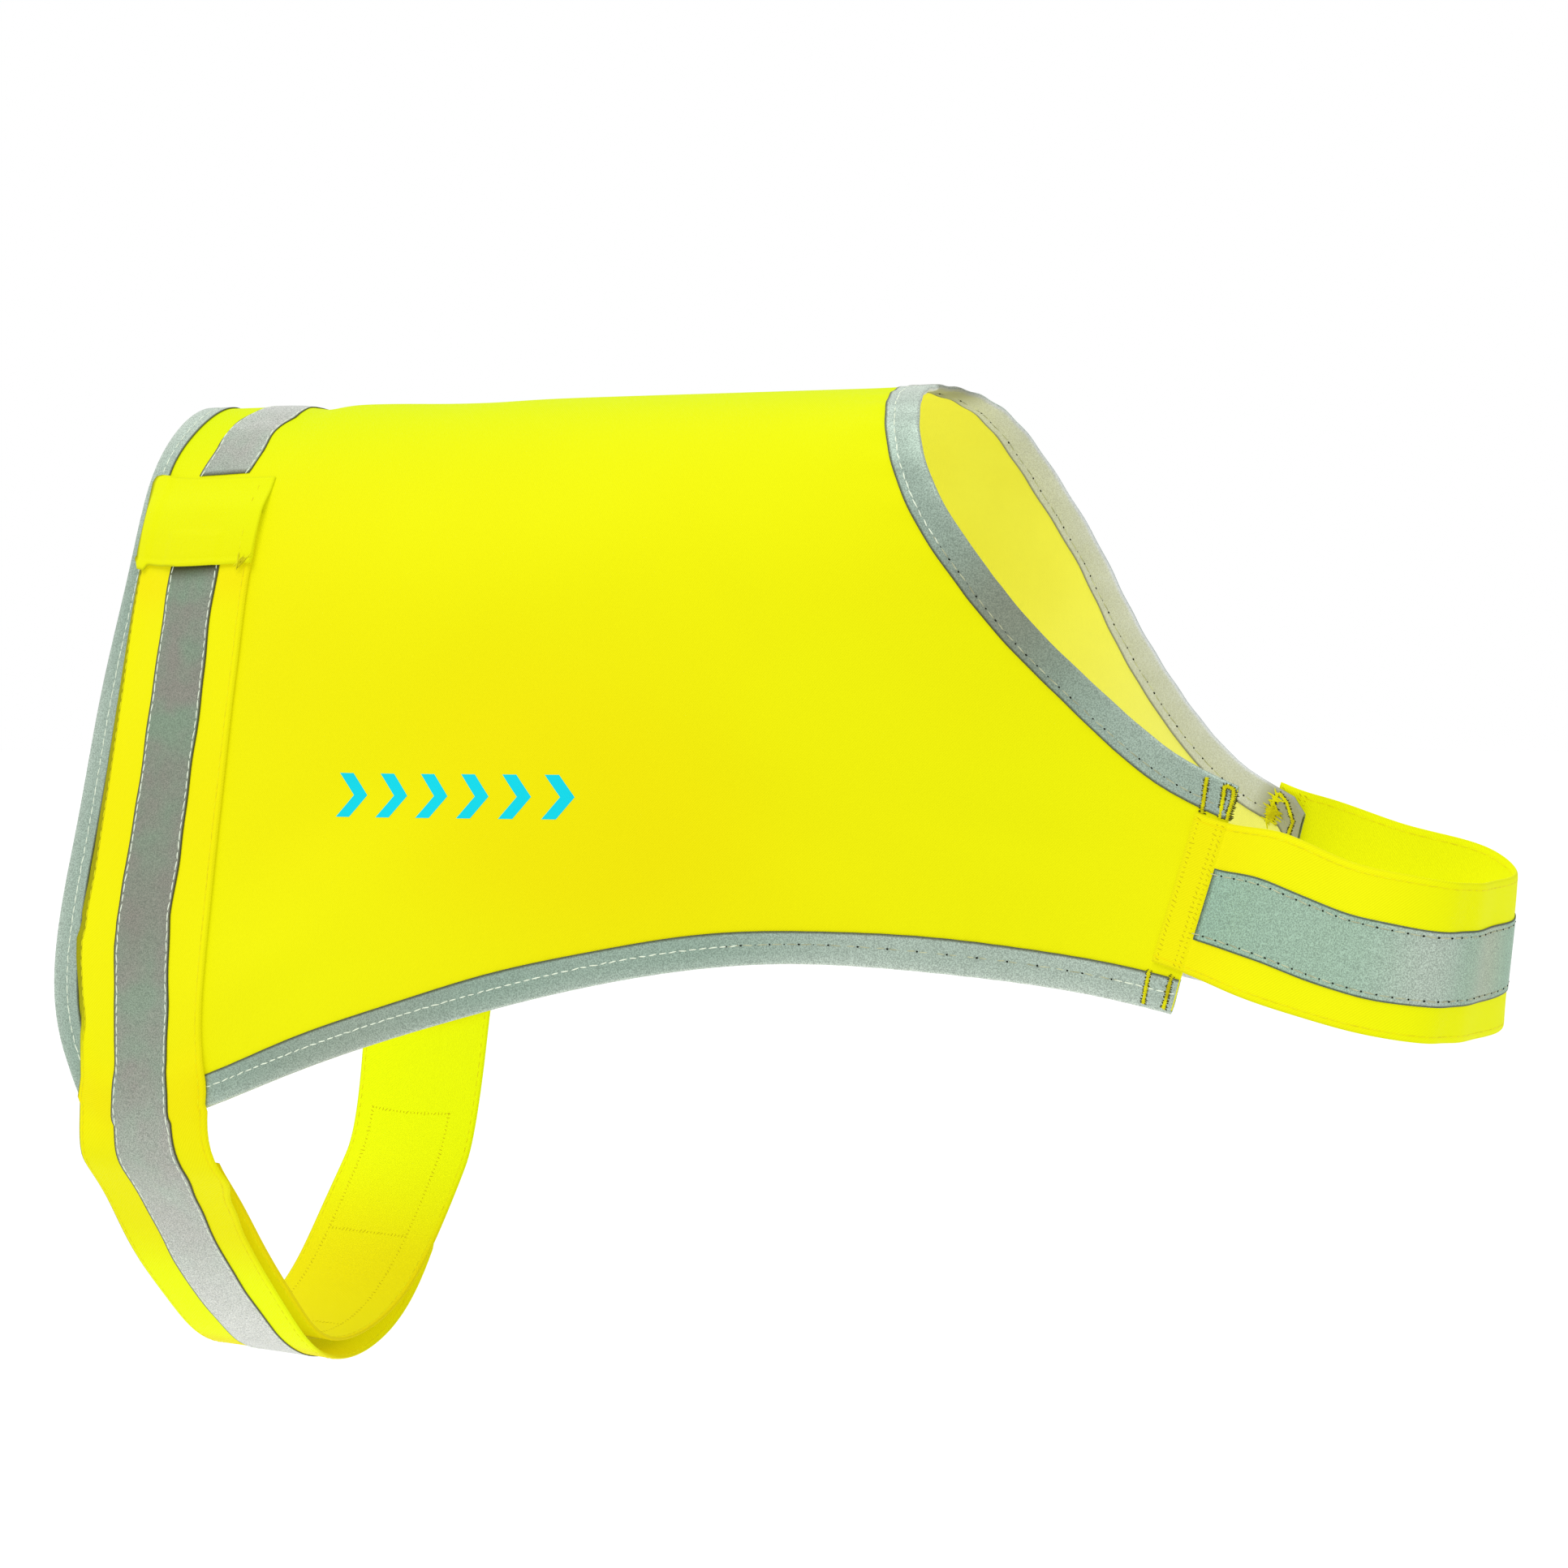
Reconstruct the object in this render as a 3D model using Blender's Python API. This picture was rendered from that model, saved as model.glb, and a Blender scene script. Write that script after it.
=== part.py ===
"""Reflective dog vest, standing open as if worn: one back panel with taped edges, two girth straps that close
under the belly, a chest strap and the reflective tapes sewn on them.

The sizes below are millimetres, turned into metres when a mesh is made. +X points to the wearer's head, +Y to
its left, +Z up. The origin lies on the inner face of the back panel at the middle of the ridge, where the
wearer's back holds the vest."""

import math
from collections import namedtuple

import bmesh
import bpy
import numpy as np

MM = 0.001
GAP = 0.3  # between pieces that are sewn together
CROSSING_GAP = 0.5  # and where one lies over a folded edge tape

# Stock that the maker cuts from.
CLOTH = 1.2  # panel wall
BAND = 1.6  # a strap, which is cloth turned in on itself
TAPE = 0.8
TAPE_WIDTH = 25.0
BINDING = 0.9  # wall of the tape folded round an edge
NECK_LEG = 9.5  # how far the folded tape reaches in from the neck's edge
EDGE_LEG = 10.5  # and from the hems and the rear edge
STAND_OFF = 0.8  # the folded tape's two free edges stand this much further off the cloth
FASTENER = 1.0  # loop tape, and hook tape
GIRTH_LINES = (-28.0, -12.5, 0.0, 12.5, 28.0)  # lines along a girth strap, from its centre: its width is 56
FASTENER_LINES = (-21.5, 16.5)

# Lifts of a layer's middle from the middle of the panel's cloth.
ON_PANEL = CLOTH / 2 + GAP
ON_BINDING = ON_PANEL + BINDING + STAND_OFF + CROSSING_GAP

# The hollow form that the vest keeps: half widths at named depths below the ridge, at stations along the back.
DEPTHS = (10, 30, 60, 100, 150, 200, 250)
Section = namedtuple("Section", "x w10 w30 w60 w100 w150 w200 w250")
SECTIONS = (
    Section(-165, 15.0, 28.0, 41.0, 55.0, 72.0, 84.0, 87.0),
    Section(-120, 22.5, 38.5, 53.5, 64.0, 76.5, 87.0, 91.0),
    Section(-40, 27.0, 43.0, 57.0, 67.0, 77.5, 86.0, 89.0),
    Section(60, 31.0, 46.0, 57.0, 63.0, 69.0, 73.0, 75.0),
    Section(149, 32.5, 45.5, 52.0, 52.5, 52.0, 52.0, 52.0),
    Section(185, 31.0, 43.0, 46.0, 44.5, 43.0, 42.0, 42.0),
    Section(225, 27.0, 35.5, 35.0, 31.5, 30.0, 30.5, 31.0),
    Section(265, 22.0, 27.5, 26.5, 23.5, 24.0, 29.0, 31.0),
)
RIDGE_SLOPE = 0.0373  # the ridge rises towards the neck

# The cut of the panel, as it lies on the form: where its edges run.
Edge = namedtuple("Edge", "depth x")
REAR_EDGE = (
    Edge(0, -152.0),
    Edge(25, -158.0),
    Edge(60, -156.5),
    Edge(100, -159.0),
    Edge(150, -159.0),
    Edge(190, -160.5),
    Edge(225, -155.0),
    Edge(243, -146.0),
)
NECK_EDGE = (
    Edge(0, 150.5),
    Edge(5, 156.5),
    Edge(23, 166.5),
    Edge(42, 178.0),
    Edge(58, 189.0),
    Edge(80, 204.5),
    Edge(99, 222.0),
    Edge(115, 240.0),
    Edge(126, 258.5),
    Edge(132.2, 274.0),
)
HEM_EDGE = (
    Edge(243, -146.0),
    Edge(250, -129.0),
    Edge(249, -110.0),
    Edge(243, -90.0),
    Edge(230, -56.0),
    Edge(209.5, 7.0),
    Edge(194.5, 69.0),
    Edge(188.5, 122.0),
    Edge(190, 162.0),
    Edge(196.5, 214.0),
    Edge(204, 254.5),
)
# The vest sits a little askew: the far side hangs lower round the neck and higher over the girth.
FAR_DROP, FAR_DROP_FROM, FAR_DROP_TO = 8.5, 155.0, 290.0
FAR_RISE, FAR_RISE_FROM, FAR_RISE_TO = 0.05, 150.0, 20.0  # a share of the depth

# How finely the panel is divided.
ROWS = 20  # from the ridge down to a hem, and twice as fine where the neck curves in
FINE_FROM = 12
COLUMNS = 17  # from the rear edge to the front
COLUMN_CROWDING = 0.35  # columns stand closer near the two ends
EDGE_BAND = 14.0  # one more row this far in from each hem

# Girth straps.
GIRTH_X = -122.0
GIRTH_DRIFT = 3.0  # the straps come this much further forward on their way down to the hem
STRAP_TOP_DEPTH = 38.0
SETTLING = 0.16  # share of the girth in which a strap goes from the panel's curve to its own
TAPE_SETBACK = 2  # stations between a girth strap's upper end and its tape's
FAR_TAPE_STATIONS = 13
# The girth below the hems, from the belly up to one hem: the other half mirrors it.
Girth = namedtuple("Girth", "half_width depth")
GIRTH = (
    Girth(0, 343.5),
    Girth(22, 339.0),
    Girth(46, 321.5),
    Girth(69, 294.0),
    Girth(85, 268.0),
    Girth(91, 250.0),
)
# Where the layers of the girth run, as a share of the way from the near hem to the far hem, with the lift of
# each layer's middle and how far it lies forward of the girth's own line.
Lap = namedtuple("Lap", "share outer_lift outer_forward inner_lift inner_forward")
LAPS = (
    Lap(0.00, 2.9, 0.0, -1.9, 5.0),
    Lap(0.25, 2.9, 2.5, -1.9, 4.5),
    Lap(0.50, 5.2, 1.0, -0.4, 1.0),
    Lap(0.75, 4.8, -1.5, 1.2, -0.5),
    Lap(1.00, 5.6, -2.0, 2.9, 0.0),
)
GIRTH_STATIONS = 38  # steps along the girth from hem to hem
# The stations between which each piece of the girth runs.
OUTER_END, INNER_END = 29, 3
LOOP_ENDS = (4, 33)
HOOK_ENDS = (5, 16)

# Back tape: it bows forward where it crosses the ridge.
BACK_TAPE_X = -120.5
BACK_TAPE_BOW = 7.0
BACK_TAPE_NEAR_DEPTH, BACK_TAPE_FAR_DEPTH = 23.5, 37.4

# The cover over the near strap's upper end.
COVER_DEPTHS = (26.5, 31.0, 36.0, 41.0, 46.0, 51.0, 56.5)
COVER_REAR_TOP, COVER_REAR_FOOT = -36.0, -31.0  # from the girth's centre
COVER_LINES = (-28.5, -14.5, 0.0, 14.5, 27.5)

# Chest strap: its top and bottom edges from the near front edge round the chest to the far front edge.
Chest = namedtuple("Chest", "top_x top_y top_z foot_x foot_y foot_z")
CHEST = (
    Chest(292.0, -28.5, -136.0, 280.0, -34.5, -186.5),
    Chest(316.5, -31.5, -141.5, 305.0, -37.0, -192.5),
    Chest(337.0, -33.0, -146.0, 327.0, -38.0, -197.0),
    Chest(349.5, -26.0, -149.0, 341.5, -31.0, -200.5),
    Chest(354.0, 0.0, -151.0, 347.0, 0.0, -203.0),
    Chest(351.0, 26.0, -149.0, 344.0, 31.0, -201.5),
    Chest(339.0, 35.0, -143.5, 331.0, 40.0, -196.0),
    Chest(309.0, 34.0, -135.5, 299.5, 39.0, -187.5),
    Chest(285.0, 30.0, -129.5, 274.0, 36.0, -181.0),
)
CHEST_OVERLAP = 11.0
# Depths below the ridge of the strap's two edges where it is sewn on: between the bindings on the near side,
# and a little higher on the far side.
CHEST_NEAR_DEPTHS = (144.6, 191.2)
CHEST_FAR_DEPTHS = (131.0, 181.0)
CHEST_LINES = (0.0, 0.29, 0.77, 1.0)  # shares of the width: the strap's edges and, between them, its tape's
CHEST_STATIONS = 46
CHEST_EASE = 0.3  # further from the panel where it is sewn on, so that the flat facets stay clear
CHEST_TAPE_MARGIN = 12.5  # from the strap's sewn end to the tape's end

COLOURS = {
    "fluorescent yellow cloth": ((0.90, 0.96, 0.01), 0.75),
    "yellow webbing cloth": ((0.86, 0.93, 0.01), 0.75),
    "reflective tape": ((0.42, 0.48, 0.45), 0.45),
    "touch fastener": ((0.72, 0.74, 0.05), 0.95),
}


# --- curves and the form -------------------------------------------------------------------------------------


def natural_spline(knots, values):
    """A natural cubic curve through the values, as a function of the knot variable."""
    knots = np.array(knots, float)
    values = np.array(values, float)
    count = len(knots)
    span = np.diff(knots)
    system = np.eye(count)
    right = np.zeros(values.shape)
    for i in range(1, count - 1):
        system[i, i - 1 : i + 2] = span[i - 1], 2 * (span[i - 1] + span[i]), span[i]
        slopes = (values[i + 1] - values[i]) / span[i] - (values[i] - values[i - 1]) / span[i - 1]
        right[i] = 6 * slopes
    bend = np.linalg.solve(system, right)

    def curve(at):
        i = int(np.clip(np.searchsorted(knots, at) - 1, 0, count - 2))
        ahead, behind, step = knots[i + 1] - at, at - knots[i], span[i]
        return (
            (bend[i] * ahead**3 + bend[i + 1] * behind**3) / (6 * step)
            + (values[i] / step - bend[i] * step / 6) * ahead
            + (values[i + 1] / step - bend[i + 1] * step / 6) * behind
        )

    return curve


def over_the_ridge(edge):
    """x along an edge that crosses the ridge squarely, as a function of the root of the depth."""
    mirrored = [(-math.sqrt(row.depth), row.x) for row in reversed(edge[1:])]
    rows = mirrored + [(math.sqrt(row.depth), row.x) for row in edge]
    return natural_spline([row[0] for row in rows], [row[1] for row in rows])


def smooth(low, high, at):
    """0 up to low, 1 from high on, and a smooth step between."""
    share = min(max((at - low) / (high - low), 0.0), 1.0)
    return share * share * (3 - 2 * share)


# The form is smooth in the root of the depth, because the ridge is round.
ROOTS = [0.0] + [math.sqrt(depth) for depth in DEPTHS]
section_at = natural_spline([row.x for row in SECTIONS], [(0.0,) + row[1:] for row in SECTIONS])
rear_x, neck_x = over_the_ridge(REAR_EDGE), over_the_ridge(NECK_EDGE)
hem_depth = natural_spline([row.x for row in HEM_EDGE], [row.depth for row in HEM_EDGE])
REAR_ROOT = math.sqrt(REAR_EDGE[-1].depth)
CORNER_ROOT = math.sqrt(NECK_EDGE[-1].depth)
FRONT_ROOT = math.sqrt(HEM_EDGE[-1].depth)
CORNER_ROW = CORNER_ROOT / FRONT_ROOT  # the panel's row that meets the corner of neck and front edge
MEAN_HEM_DEPTH = (REAR_EDGE[-1].depth + HEM_EDGE[-1].depth) / 2


def ridge_z(x):
    return CLOTH / 2 + RIDGE_SLOPE * x


def bare_point(x, root):
    """The form's point at x whose depth is root squared: on the near side for a negative root."""
    half_width = natural_spline(ROOTS, section_at(x))(abs(root))
    return np.array([x, math.copysign(half_width, root), ridge_z(x) - root * root])


def slopes_at(x, root, step=0.05):
    along = (bare_point(x + step, root) - bare_point(x - step, root)) / (2 * step)
    around = (bare_point(x, root + step) - bare_point(x, root - step)) / (2 * step)
    return along, around


def normal_at(x, root):
    """The form's outward unit normal."""
    along, around = slopes_at(x, root)
    outward = np.cross(around, along)
    outward /= np.linalg.norm(outward)
    return outward if outward @ np.array([0, math.copysign(1, root), 0.5]) > 0 else -outward


def on_form(x, root, lift=0.0):
    return bare_point(x, root) + lift * normal_at(x, root)


# --- the cut of the panel ------------------------------------------------------------------------------------


def front_x(root):
    """The front edge: the neck down to its corner, then a straight line to the hem."""
    if root <= CORNER_ROOT:
        return float(neck_x(root))
    corner, hem = NECK_EDGE[-1], HEM_EDGE[-1]
    share = (root * root - corner.depth) / (hem.depth - corner.depth)
    return corner.x + share * (hem.x - corner.x)


def hem_root(column):
    x = REAR_EDGE[-1].x + column * (HEM_EDGE[-1].x - REAR_EDGE[-1].x)
    return math.sqrt(hem_depth(x))


def askew(x, root):
    """The root at which a place of the cut lies on its side: the far side's differ from the near side's."""
    if root <= 0:
        return root
    depth = root * root
    fall = FAR_DROP * smooth(FAR_DROP_FROM, FAR_DROP_TO, x)
    rise = FAR_RISE * (1 - smooth(FAR_RISE_TO, FAR_RISE_FROM, x))
    return math.sqrt(depth * (1 - rise) + fall * max(math.sin(math.pi * depth / HEM_EDGE[-1].depth), 0.0))


def panel_place(column, row):
    """x and root of the panel at column 0 (rear) to 1 (front) and row -1 (near hem) to 1 (far hem)."""
    down = abs(row)
    x = (1 - column) * float(rear_x(down * REAR_ROOT)) + column * front_x(down * FRONT_ROOT)
    return x, askew(x, math.copysign(down * hem_root(column), row))


def column_at(x, row):
    """The column at which a row passes x."""
    down = abs(row)
    rear = float(rear_x(down * REAR_ROOT))
    return (x - rear) / (front_x(down * FRONT_ROOT) - rear)


def row_at_depth(x, depth):
    """The row, on one side, that lies at this depth at x."""
    row = 0.5
    for _ in range(12):
        row = math.sqrt(depth) / hem_root(column_at(x, row))
    return row


def panel_rows():
    """Rows from the near hem to the far hem."""
    coarse = [i / ROWS for i in range(ROWS)]
    fine = [(i + 0.5) / ROWS for i in range(FINE_FROM, int(CORNER_ROW * ROWS))]
    clear = [row for row in coarse + fine if abs(row - CORNER_ROW) > 0.4 / ROWS]
    half = sorted(clear + [CORNER_ROW, math.sqrt(1 - EDGE_BAND / MEAN_HEM_DEPTH), 1.0])
    return [-row for row in reversed(half[1:])] + half


def panel_columns():
    """Columns from the rear edge to the front edge."""
    turns = [i / COLUMNS for i in range(COLUMNS + 1)]
    return [turn - COLUMN_CROWDING / math.tau * math.sin(math.tau * turn) for turn in turns]


# --- solids --------------------------------------------------------------------------------------------------


def material(name):
    """The named finish, made once."""
    made = bpy.data.materials.get(name)
    if made is None:
        colour, roughness = COLOURS[name]
        made = bpy.data.materials.new(name)
        made.use_nodes = True
        shader = made.node_tree.nodes["Principled BSDF"]
        shader.inputs["Base Color"].default_value = (*colour, 1.0)
        shader.inputs["Roughness"].default_value = roughness
        shader.inputs["Metallic"].default_value = 0.0
    return made


def solid(name, points, faces, finish):
    """A closed mesh object from points in millimetres, its faces turned outwards."""
    mesh = bpy.data.meshes.new(name)
    mesh.from_pydata([tuple(point * MM) for point in points], [], faces)
    shape = bmesh.new()
    shape.from_mesh(mesh)
    bmesh.ops.recalc_face_normals(shape, faces=shape.faces)
    if shape.calc_volume(signed=True) < 0:
        bmesh.ops.reverse_faces(shape, faces=shape.faces)
    shape.to_mesh(mesh)
    shape.free()
    mesh.shade_smooth()
    mesh.set_sharp_from_angle(angle=math.radians(40))
    mesh.materials.append(material(finish))
    made = bpy.data.objects.new(name, mesh)
    bpy.context.scene.collection.objects.link(made)
    return made


def sheet(name, outer, inner, finish):
    """A wall between two grids of points: both faces and the rim that joins them."""
    outer, inner = np.array(outer), np.array(inner)
    rows, columns = outer.shape[:2]
    count = rows * columns

    def at(row, column, layer):
        return layer * count + row * columns + column

    faces = []
    for row in range(rows - 1):
        for column in range(columns - 1):
            around = [(row, column), (row, column + 1), (row + 1, column + 1), (row + 1, column)]
            faces.append([at(*place, 0) for place in around])
            faces.append([at(*place, 1) for place in reversed(around)])
    rim = [(0, column) for column in range(columns)]
    rim += [(row, columns - 1) for row in range(1, rows)]
    rim += [(rows - 1, column) for column in reversed(range(columns - 1))]
    rim += [(row, 0) for row in reversed(range(1, rows - 1))]
    for here, following in zip(rim, rim[1:] + rim[:1]):
        faces.append([at(*here, 0), at(*here, 1), at(*following, 1), at(*following, 0)])
    points = np.concatenate([outer.reshape(-1, 3), inner.reshape(-1, 3)])
    return solid(name, points, faces, finish)


def sweep(name, rings, finish):
    """A bar through rings of points that all hold the same number, with flat ends."""
    size = len(rings[0])
    faces = [list(range(size)), [(len(rings) - 1) * size + i for i in reversed(range(size))]]
    for ring in range(len(rings) - 1):
        for i in range(size):
            j = (i + 1) % size
            faces.append([ring * size + i, ring * size + j, (ring + 1) * size + j, (ring + 1) * size + i])
    return solid(name, np.concatenate(rings), faces, finish)


# --- panel and bindings --------------------------------------------------------------------------------------


def back_panel():
    rows, columns = panel_rows(), panel_columns()
    places = [[panel_place(column, row) for column in columns] for row in rows]
    outer = [[on_form(*place, CLOTH / 2) for place in line] for line in places]
    inner = [[on_form(*place, -CLOTH / 2) for place in line] for line in places]
    return sheet("back_panel", outer, inner, "fluorescent yellow cloth")


def place_inward(place, direction, distance):
    """The place at this distance from another along a direction that lies in the form."""
    along, around = slopes_at(*place)
    step, *_ = np.linalg.lstsq(np.stack([along, around], axis=1), direction * distance, rcond=None)
    return place[0] + step[0], place[1] + step[1]


def binding(name, places, leg, start_along, end_along):
    """Tape folded round an edge of the panel, its two ends cut along the given directions."""
    points = [on_form(*place) for place in places]
    rings = []
    for i, place in enumerate(places):
        normal = normal_at(*place)
        tangent = points[min(i + 1, len(places) - 1)] - points[max(i - 1, 0)]
        tangent /= np.linalg.norm(tangent)
        inward = np.cross(tangent, normal)
        cut = start_along if i == 0 else end_along if i == len(places) - 1 else None
        reach = 1.0
        if cut is not None:
            reach = 1 / max(cut @ inward, 0.5)
            inward = cut
        tip_place = place_inward(place, inward, leg * reach)
        tip, tip_normal = bare_point(*tip_place), normal_at(*tip_place)
        outer_face, inner_face = ON_PANEL + BINDING, ON_PANEL
        outer_tip, inner_tip = outer_face + STAND_OFF, inner_face + STAND_OFF
        fold = points[i] - inward * (GAP + BINDING) * reach
        shoulder = points[i] - inward * GAP * reach
        rings.append(
            np.array(
                [
                    tip + tip_normal * outer_tip,
                    tip + tip_normal * inner_tip,
                    shoulder + normal * inner_face,
                    shoulder - normal * inner_face,
                    tip - tip_normal * inner_tip,
                    tip - tip_normal * outer_tip,
                    fold - normal * inner_face,
                    fold + normal * inner_face,
                ]
            )
        )
    return sweep(name, rings, "reflective tape")


def front_edge_direction(row):
    """The unit direction down the straight front edge on the side of this row, from the neck's corner."""
    side = math.copysign(1, row)
    corner = on_form(*panel_place(1.0, side * CORNER_ROW))
    down = on_form(*panel_place(1.0, side)) - corner
    return down / np.linalg.norm(down)


def neck_binding():
    rows = [row for row in reversed(panel_rows()) if abs(row) <= CORNER_ROW]
    places = [panel_place(1.0, row) for row in rows]
    return binding("neck_binding", places, NECK_LEG, front_edge_direction(1), front_edge_direction(-1))


def edge_binding():
    """One length of tape along the near hem, up the rear edge, over the ridge and back along the far hem."""
    columns = panel_columns()
    rows = panel_rows()
    places = [panel_place(column, -1.0) for column in reversed(columns)]
    places += [panel_place(0.0, row) for row in rows[1:-1]]
    places += [panel_place(column, 1.0) for column in columns]
    return binding("edge_binding", places, EDGE_LEG, -front_edge_direction(-1), -front_edge_direction(1))


# --- girth ---------------------------------------------------------------------------------------------------


def girth_centre(depth):
    return GIRTH_X + GIRTH_DRIFT * min(depth, HEM_EDGE[1].depth) / HEM_EDGE[1].depth


def panel_station(side, row, lines, lifts):
    """Points across a strap where it lies on the panel, one for each line, and the form's normals there."""
    centre = girth_centre((row * REAR_ROOT) ** 2)
    points, normals = [], []
    for line, lift in zip(lines, lifts):
        x = centre + line
        root = askew(x, side * row * hem_root(column_at(x, row)))
        points.append(on_form(x, root, lift))
        normals.append(normal_at(x, root))
    return points, normals


def rows_between(low, high):
    """Two rows, and the panel's own rows between them."""
    return [low] + [row for row in panel_rows() if low + 0.008 < row < high - 0.008] + [high]


def girth_curve():
    """The girth below the hems, from the near hem (0) to the far hem (1)."""
    half = [(row.half_width, ridge_z(GIRTH_X) - row.depth) for row in GIRTH]
    profile = np.array([(-y, z) for y, z in reversed(half[1:])] + half)
    runs = np.concatenate([[0], np.cumsum(np.linalg.norm(np.diff(profile, axis=0), axis=1))])
    return natural_spline(runs / runs[-1], profile)


girth_at = girth_curve()
lap_at = natural_spline([row.share for row in LAPS], [row[1:] for row in LAPS])


def hanging_station(share, lines, lift, forward):
    """Points across a strap below the hems, at a share of the way round, and the girth's outward normals."""
    ahead = girth_at(share + 0.005) - girth_at(share - 0.005)
    ahead /= np.linalg.norm(ahead)
    outward = np.array([0, ahead[1], -ahead[0]])
    middle = np.array([girth_centre(HEM_EDGE[1].depth) + forward, *girth_at(share)]) + lift * outward
    return [middle + np.array([line, 0, 0]) for line in lines], [outward] * len(lines)


def girth_strap(side, stations):
    """Middle points and normals of a girth strap, as grids: down the panel, then through stations below it."""
    points, normals = [], []
    outer = side < 0
    on_binding, on_panel = ON_BINDING + BAND / 2, ON_PANEL + BAND / 2
    over_hem = 1 - 1.1 / ROWS
    for row in rows_between(row_at_depth(GIRTH_X, STRAP_TOP_DEPTH), 1.0):
        raised = [row >= over_hem or line < -TAPE_WIDTH / 2 - 1 for line in GIRTH_LINES]
        lifts = [on_binding if high else on_panel for high in raised]
        station, outward = panel_station(side, row, GIRTH_LINES, lifts)
        points.append(station)
        normals.append(outward)
    hem, hem_normals = points[-1], normals[-1]
    start, start_normals = hanging_station(0.0 if outer else 1.0, GIRTH_LINES, on_binding, 0.0)
    for share in (i / GIRTH_STATIONS for i in stations):
        lift, forward = lap_at(share)[:2] if outer else lap_at(share)[2:]
        station, outward = hanging_station(share, GIRTH_LINES, lift, forward)
        fade = 1 - smooth(0, SETTLING, share if outer else 1 - share)
        points.append([here + fade * (a - b) for here, a, b in zip(station, hem, start)])
        normals.append([here + fade * (a - b) for here, a, b in zip(outward, hem_normals, start_normals)])
    normals = np.array(normals)
    return np.array(points), normals / np.linalg.norm(normals, axis=2, keepdims=True)


def wall(name, points, normals, thickness, finish):
    """A wall of this thickness about a grid of its middle points."""
    reach = normals * thickness / 2
    return sheet(name, points + reach, points - reach, finish)


def laid_on(points, normals, across, wanted, lift):
    """Points of a strip that lies on a band: at the wanted places across it, moved out by lift."""
    strip = []
    for line, outward in zip(points, normals):
        moved = line + outward * lift
        strip.append(np.stack([np.interp(wanted, across, moved[:, axis]) for axis in range(3)], axis=1))
    facing = [
        np.stack([np.interp(wanted, across, outward[:, axis]) for axis in range(3)], axis=1)
        for outward in normals
    ]
    return np.array(strip), np.array(facing)


def girth_pieces():
    """Both girth straps, their reflective tapes, and the touch fastener between them."""
    tape_lines = (-TAPE_WIDTH / 2, 0.0, TAPE_WIDTH / 2)
    tape_lift = BAND / 2 + GAP + TAPE / 2
    fastener_lift = BAND / 2 + GAP + FASTENER / 2
    near_stations = range(1, OUTER_END + 1)
    far_stations = range(GIRTH_STATIONS - 1, INNER_END - 1, -1)
    near, near_normals = girth_strap(-1, near_stations)
    far, far_normals = girth_strap(1, far_stations)
    wall("girth_strap_outer", near, near_normals, BAND, "yellow webbing cloth")
    wall("girth_strap_inner", far, far_normals, BAND, "yellow webbing cloth")
    for name, points, normals, kept in (
        ("girth_tape_near", near, near_normals, slice(TAPE_SETBACK, -1)),
        ("girth_tape_far", far, far_normals, slice(TAPE_SETBACK, TAPE_SETBACK + FAR_TAPE_STATIONS)),
    ):
        strip = laid_on(points[kept], normals[kept], GIRTH_LINES, tape_lines, tape_lift)
        wall(name, *strip, TAPE, "reflective tape")
    for name, points, normals, stations, ends, lift in (
        ("hook_tape", near, near_normals, near_stations, HOOK_ENDS, -fastener_lift),
        ("loop_tape", far, far_normals, far_stations, LOOP_ENDS, fastener_lift),
    ):
        hung = len(points) - len(stations)
        kept = [hung + i for i, station in enumerate(stations) if ends[0] <= station <= ends[1]]
        strip = laid_on(points[kept], normals[kept], GIRTH_LINES, FASTENER_LINES, lift)
        wall(name, *strip, FASTENER, "touch fastener")


def back_tape():
    """The tape over the back, from the cover on the near side to the far strap's upper end."""
    near = -row_at_depth(BACK_TAPE_X, BACK_TAPE_NEAR_DEPTH)
    far = row_at_depth(BACK_TAPE_X, BACK_TAPE_FAR_DEPTH)
    points, normals = [], []
    for row in rows_between(near, far):
        centre = BACK_TAPE_X + BACK_TAPE_BOW * max(1 - (row / near) ** 2, 0.0)
        places = []
        for line in (-TAPE_WIDTH / 2, 0.0, TAPE_WIDTH / 2):
            x = centre + line
            places.append((x, askew(x, row * hem_root(column_at(x, row)))))
        points.append([on_form(*place, ON_PANEL + TAPE / 2) for place in places])
        normals.append([normal_at(*place) for place in places])
    wall("back_tape", np.array(points), np.array(normals), TAPE, "reflective tape")


def strap_cover():
    """The patch sewn over the near strap's upper end and the edge binding beside it."""
    points, normals = [], []
    flat, over_binding = ON_PANEL + CLOTH / 2, ON_BINDING + CLOTH / 2
    over_strap = ON_PANEL + BAND + CROSSING_GAP + CLOTH / 2
    over_tape = over_strap + TAPE + GAP
    over_crossing = ON_BINDING + BAND + CROSSING_GAP + CLOTH / 2
    for depth in COVER_DEPTHS:
        share = (depth - COVER_DEPTHS[0]) / (COVER_DEPTHS[-1] - COVER_DEPTHS[0])
        rear = COVER_REAR_TOP + share * (COVER_REAR_FOOT - COVER_REAR_TOP)
        lines = (rear,) + COVER_LINES
        if depth < STRAP_TOP_DEPTH - 4:
            lifts = (over_binding, over_binding, flat, flat, flat, flat)
        else:
            lifts = (over_binding, over_crossing, over_tape, over_tape, over_tape, over_strap)
        row = row_at_depth(GIRTH_X, depth)
        station, outward = panel_station(-1, row, lines, lifts)
        points.append(station)
        normals.append(outward)
    wall("strap_cover", np.array(points), np.array(normals), CLOTH, "fluorescent yellow cloth")


# --- chest ---------------------------------------------------------------------------------------------------


def front_line_x(depth):
    corner, hem = NECK_EDGE[-1], HEM_EDGE[-1]
    return corner.x + (depth - corner.depth) / (hem.depth - corner.depth) * (hem.x - corner.x)


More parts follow.
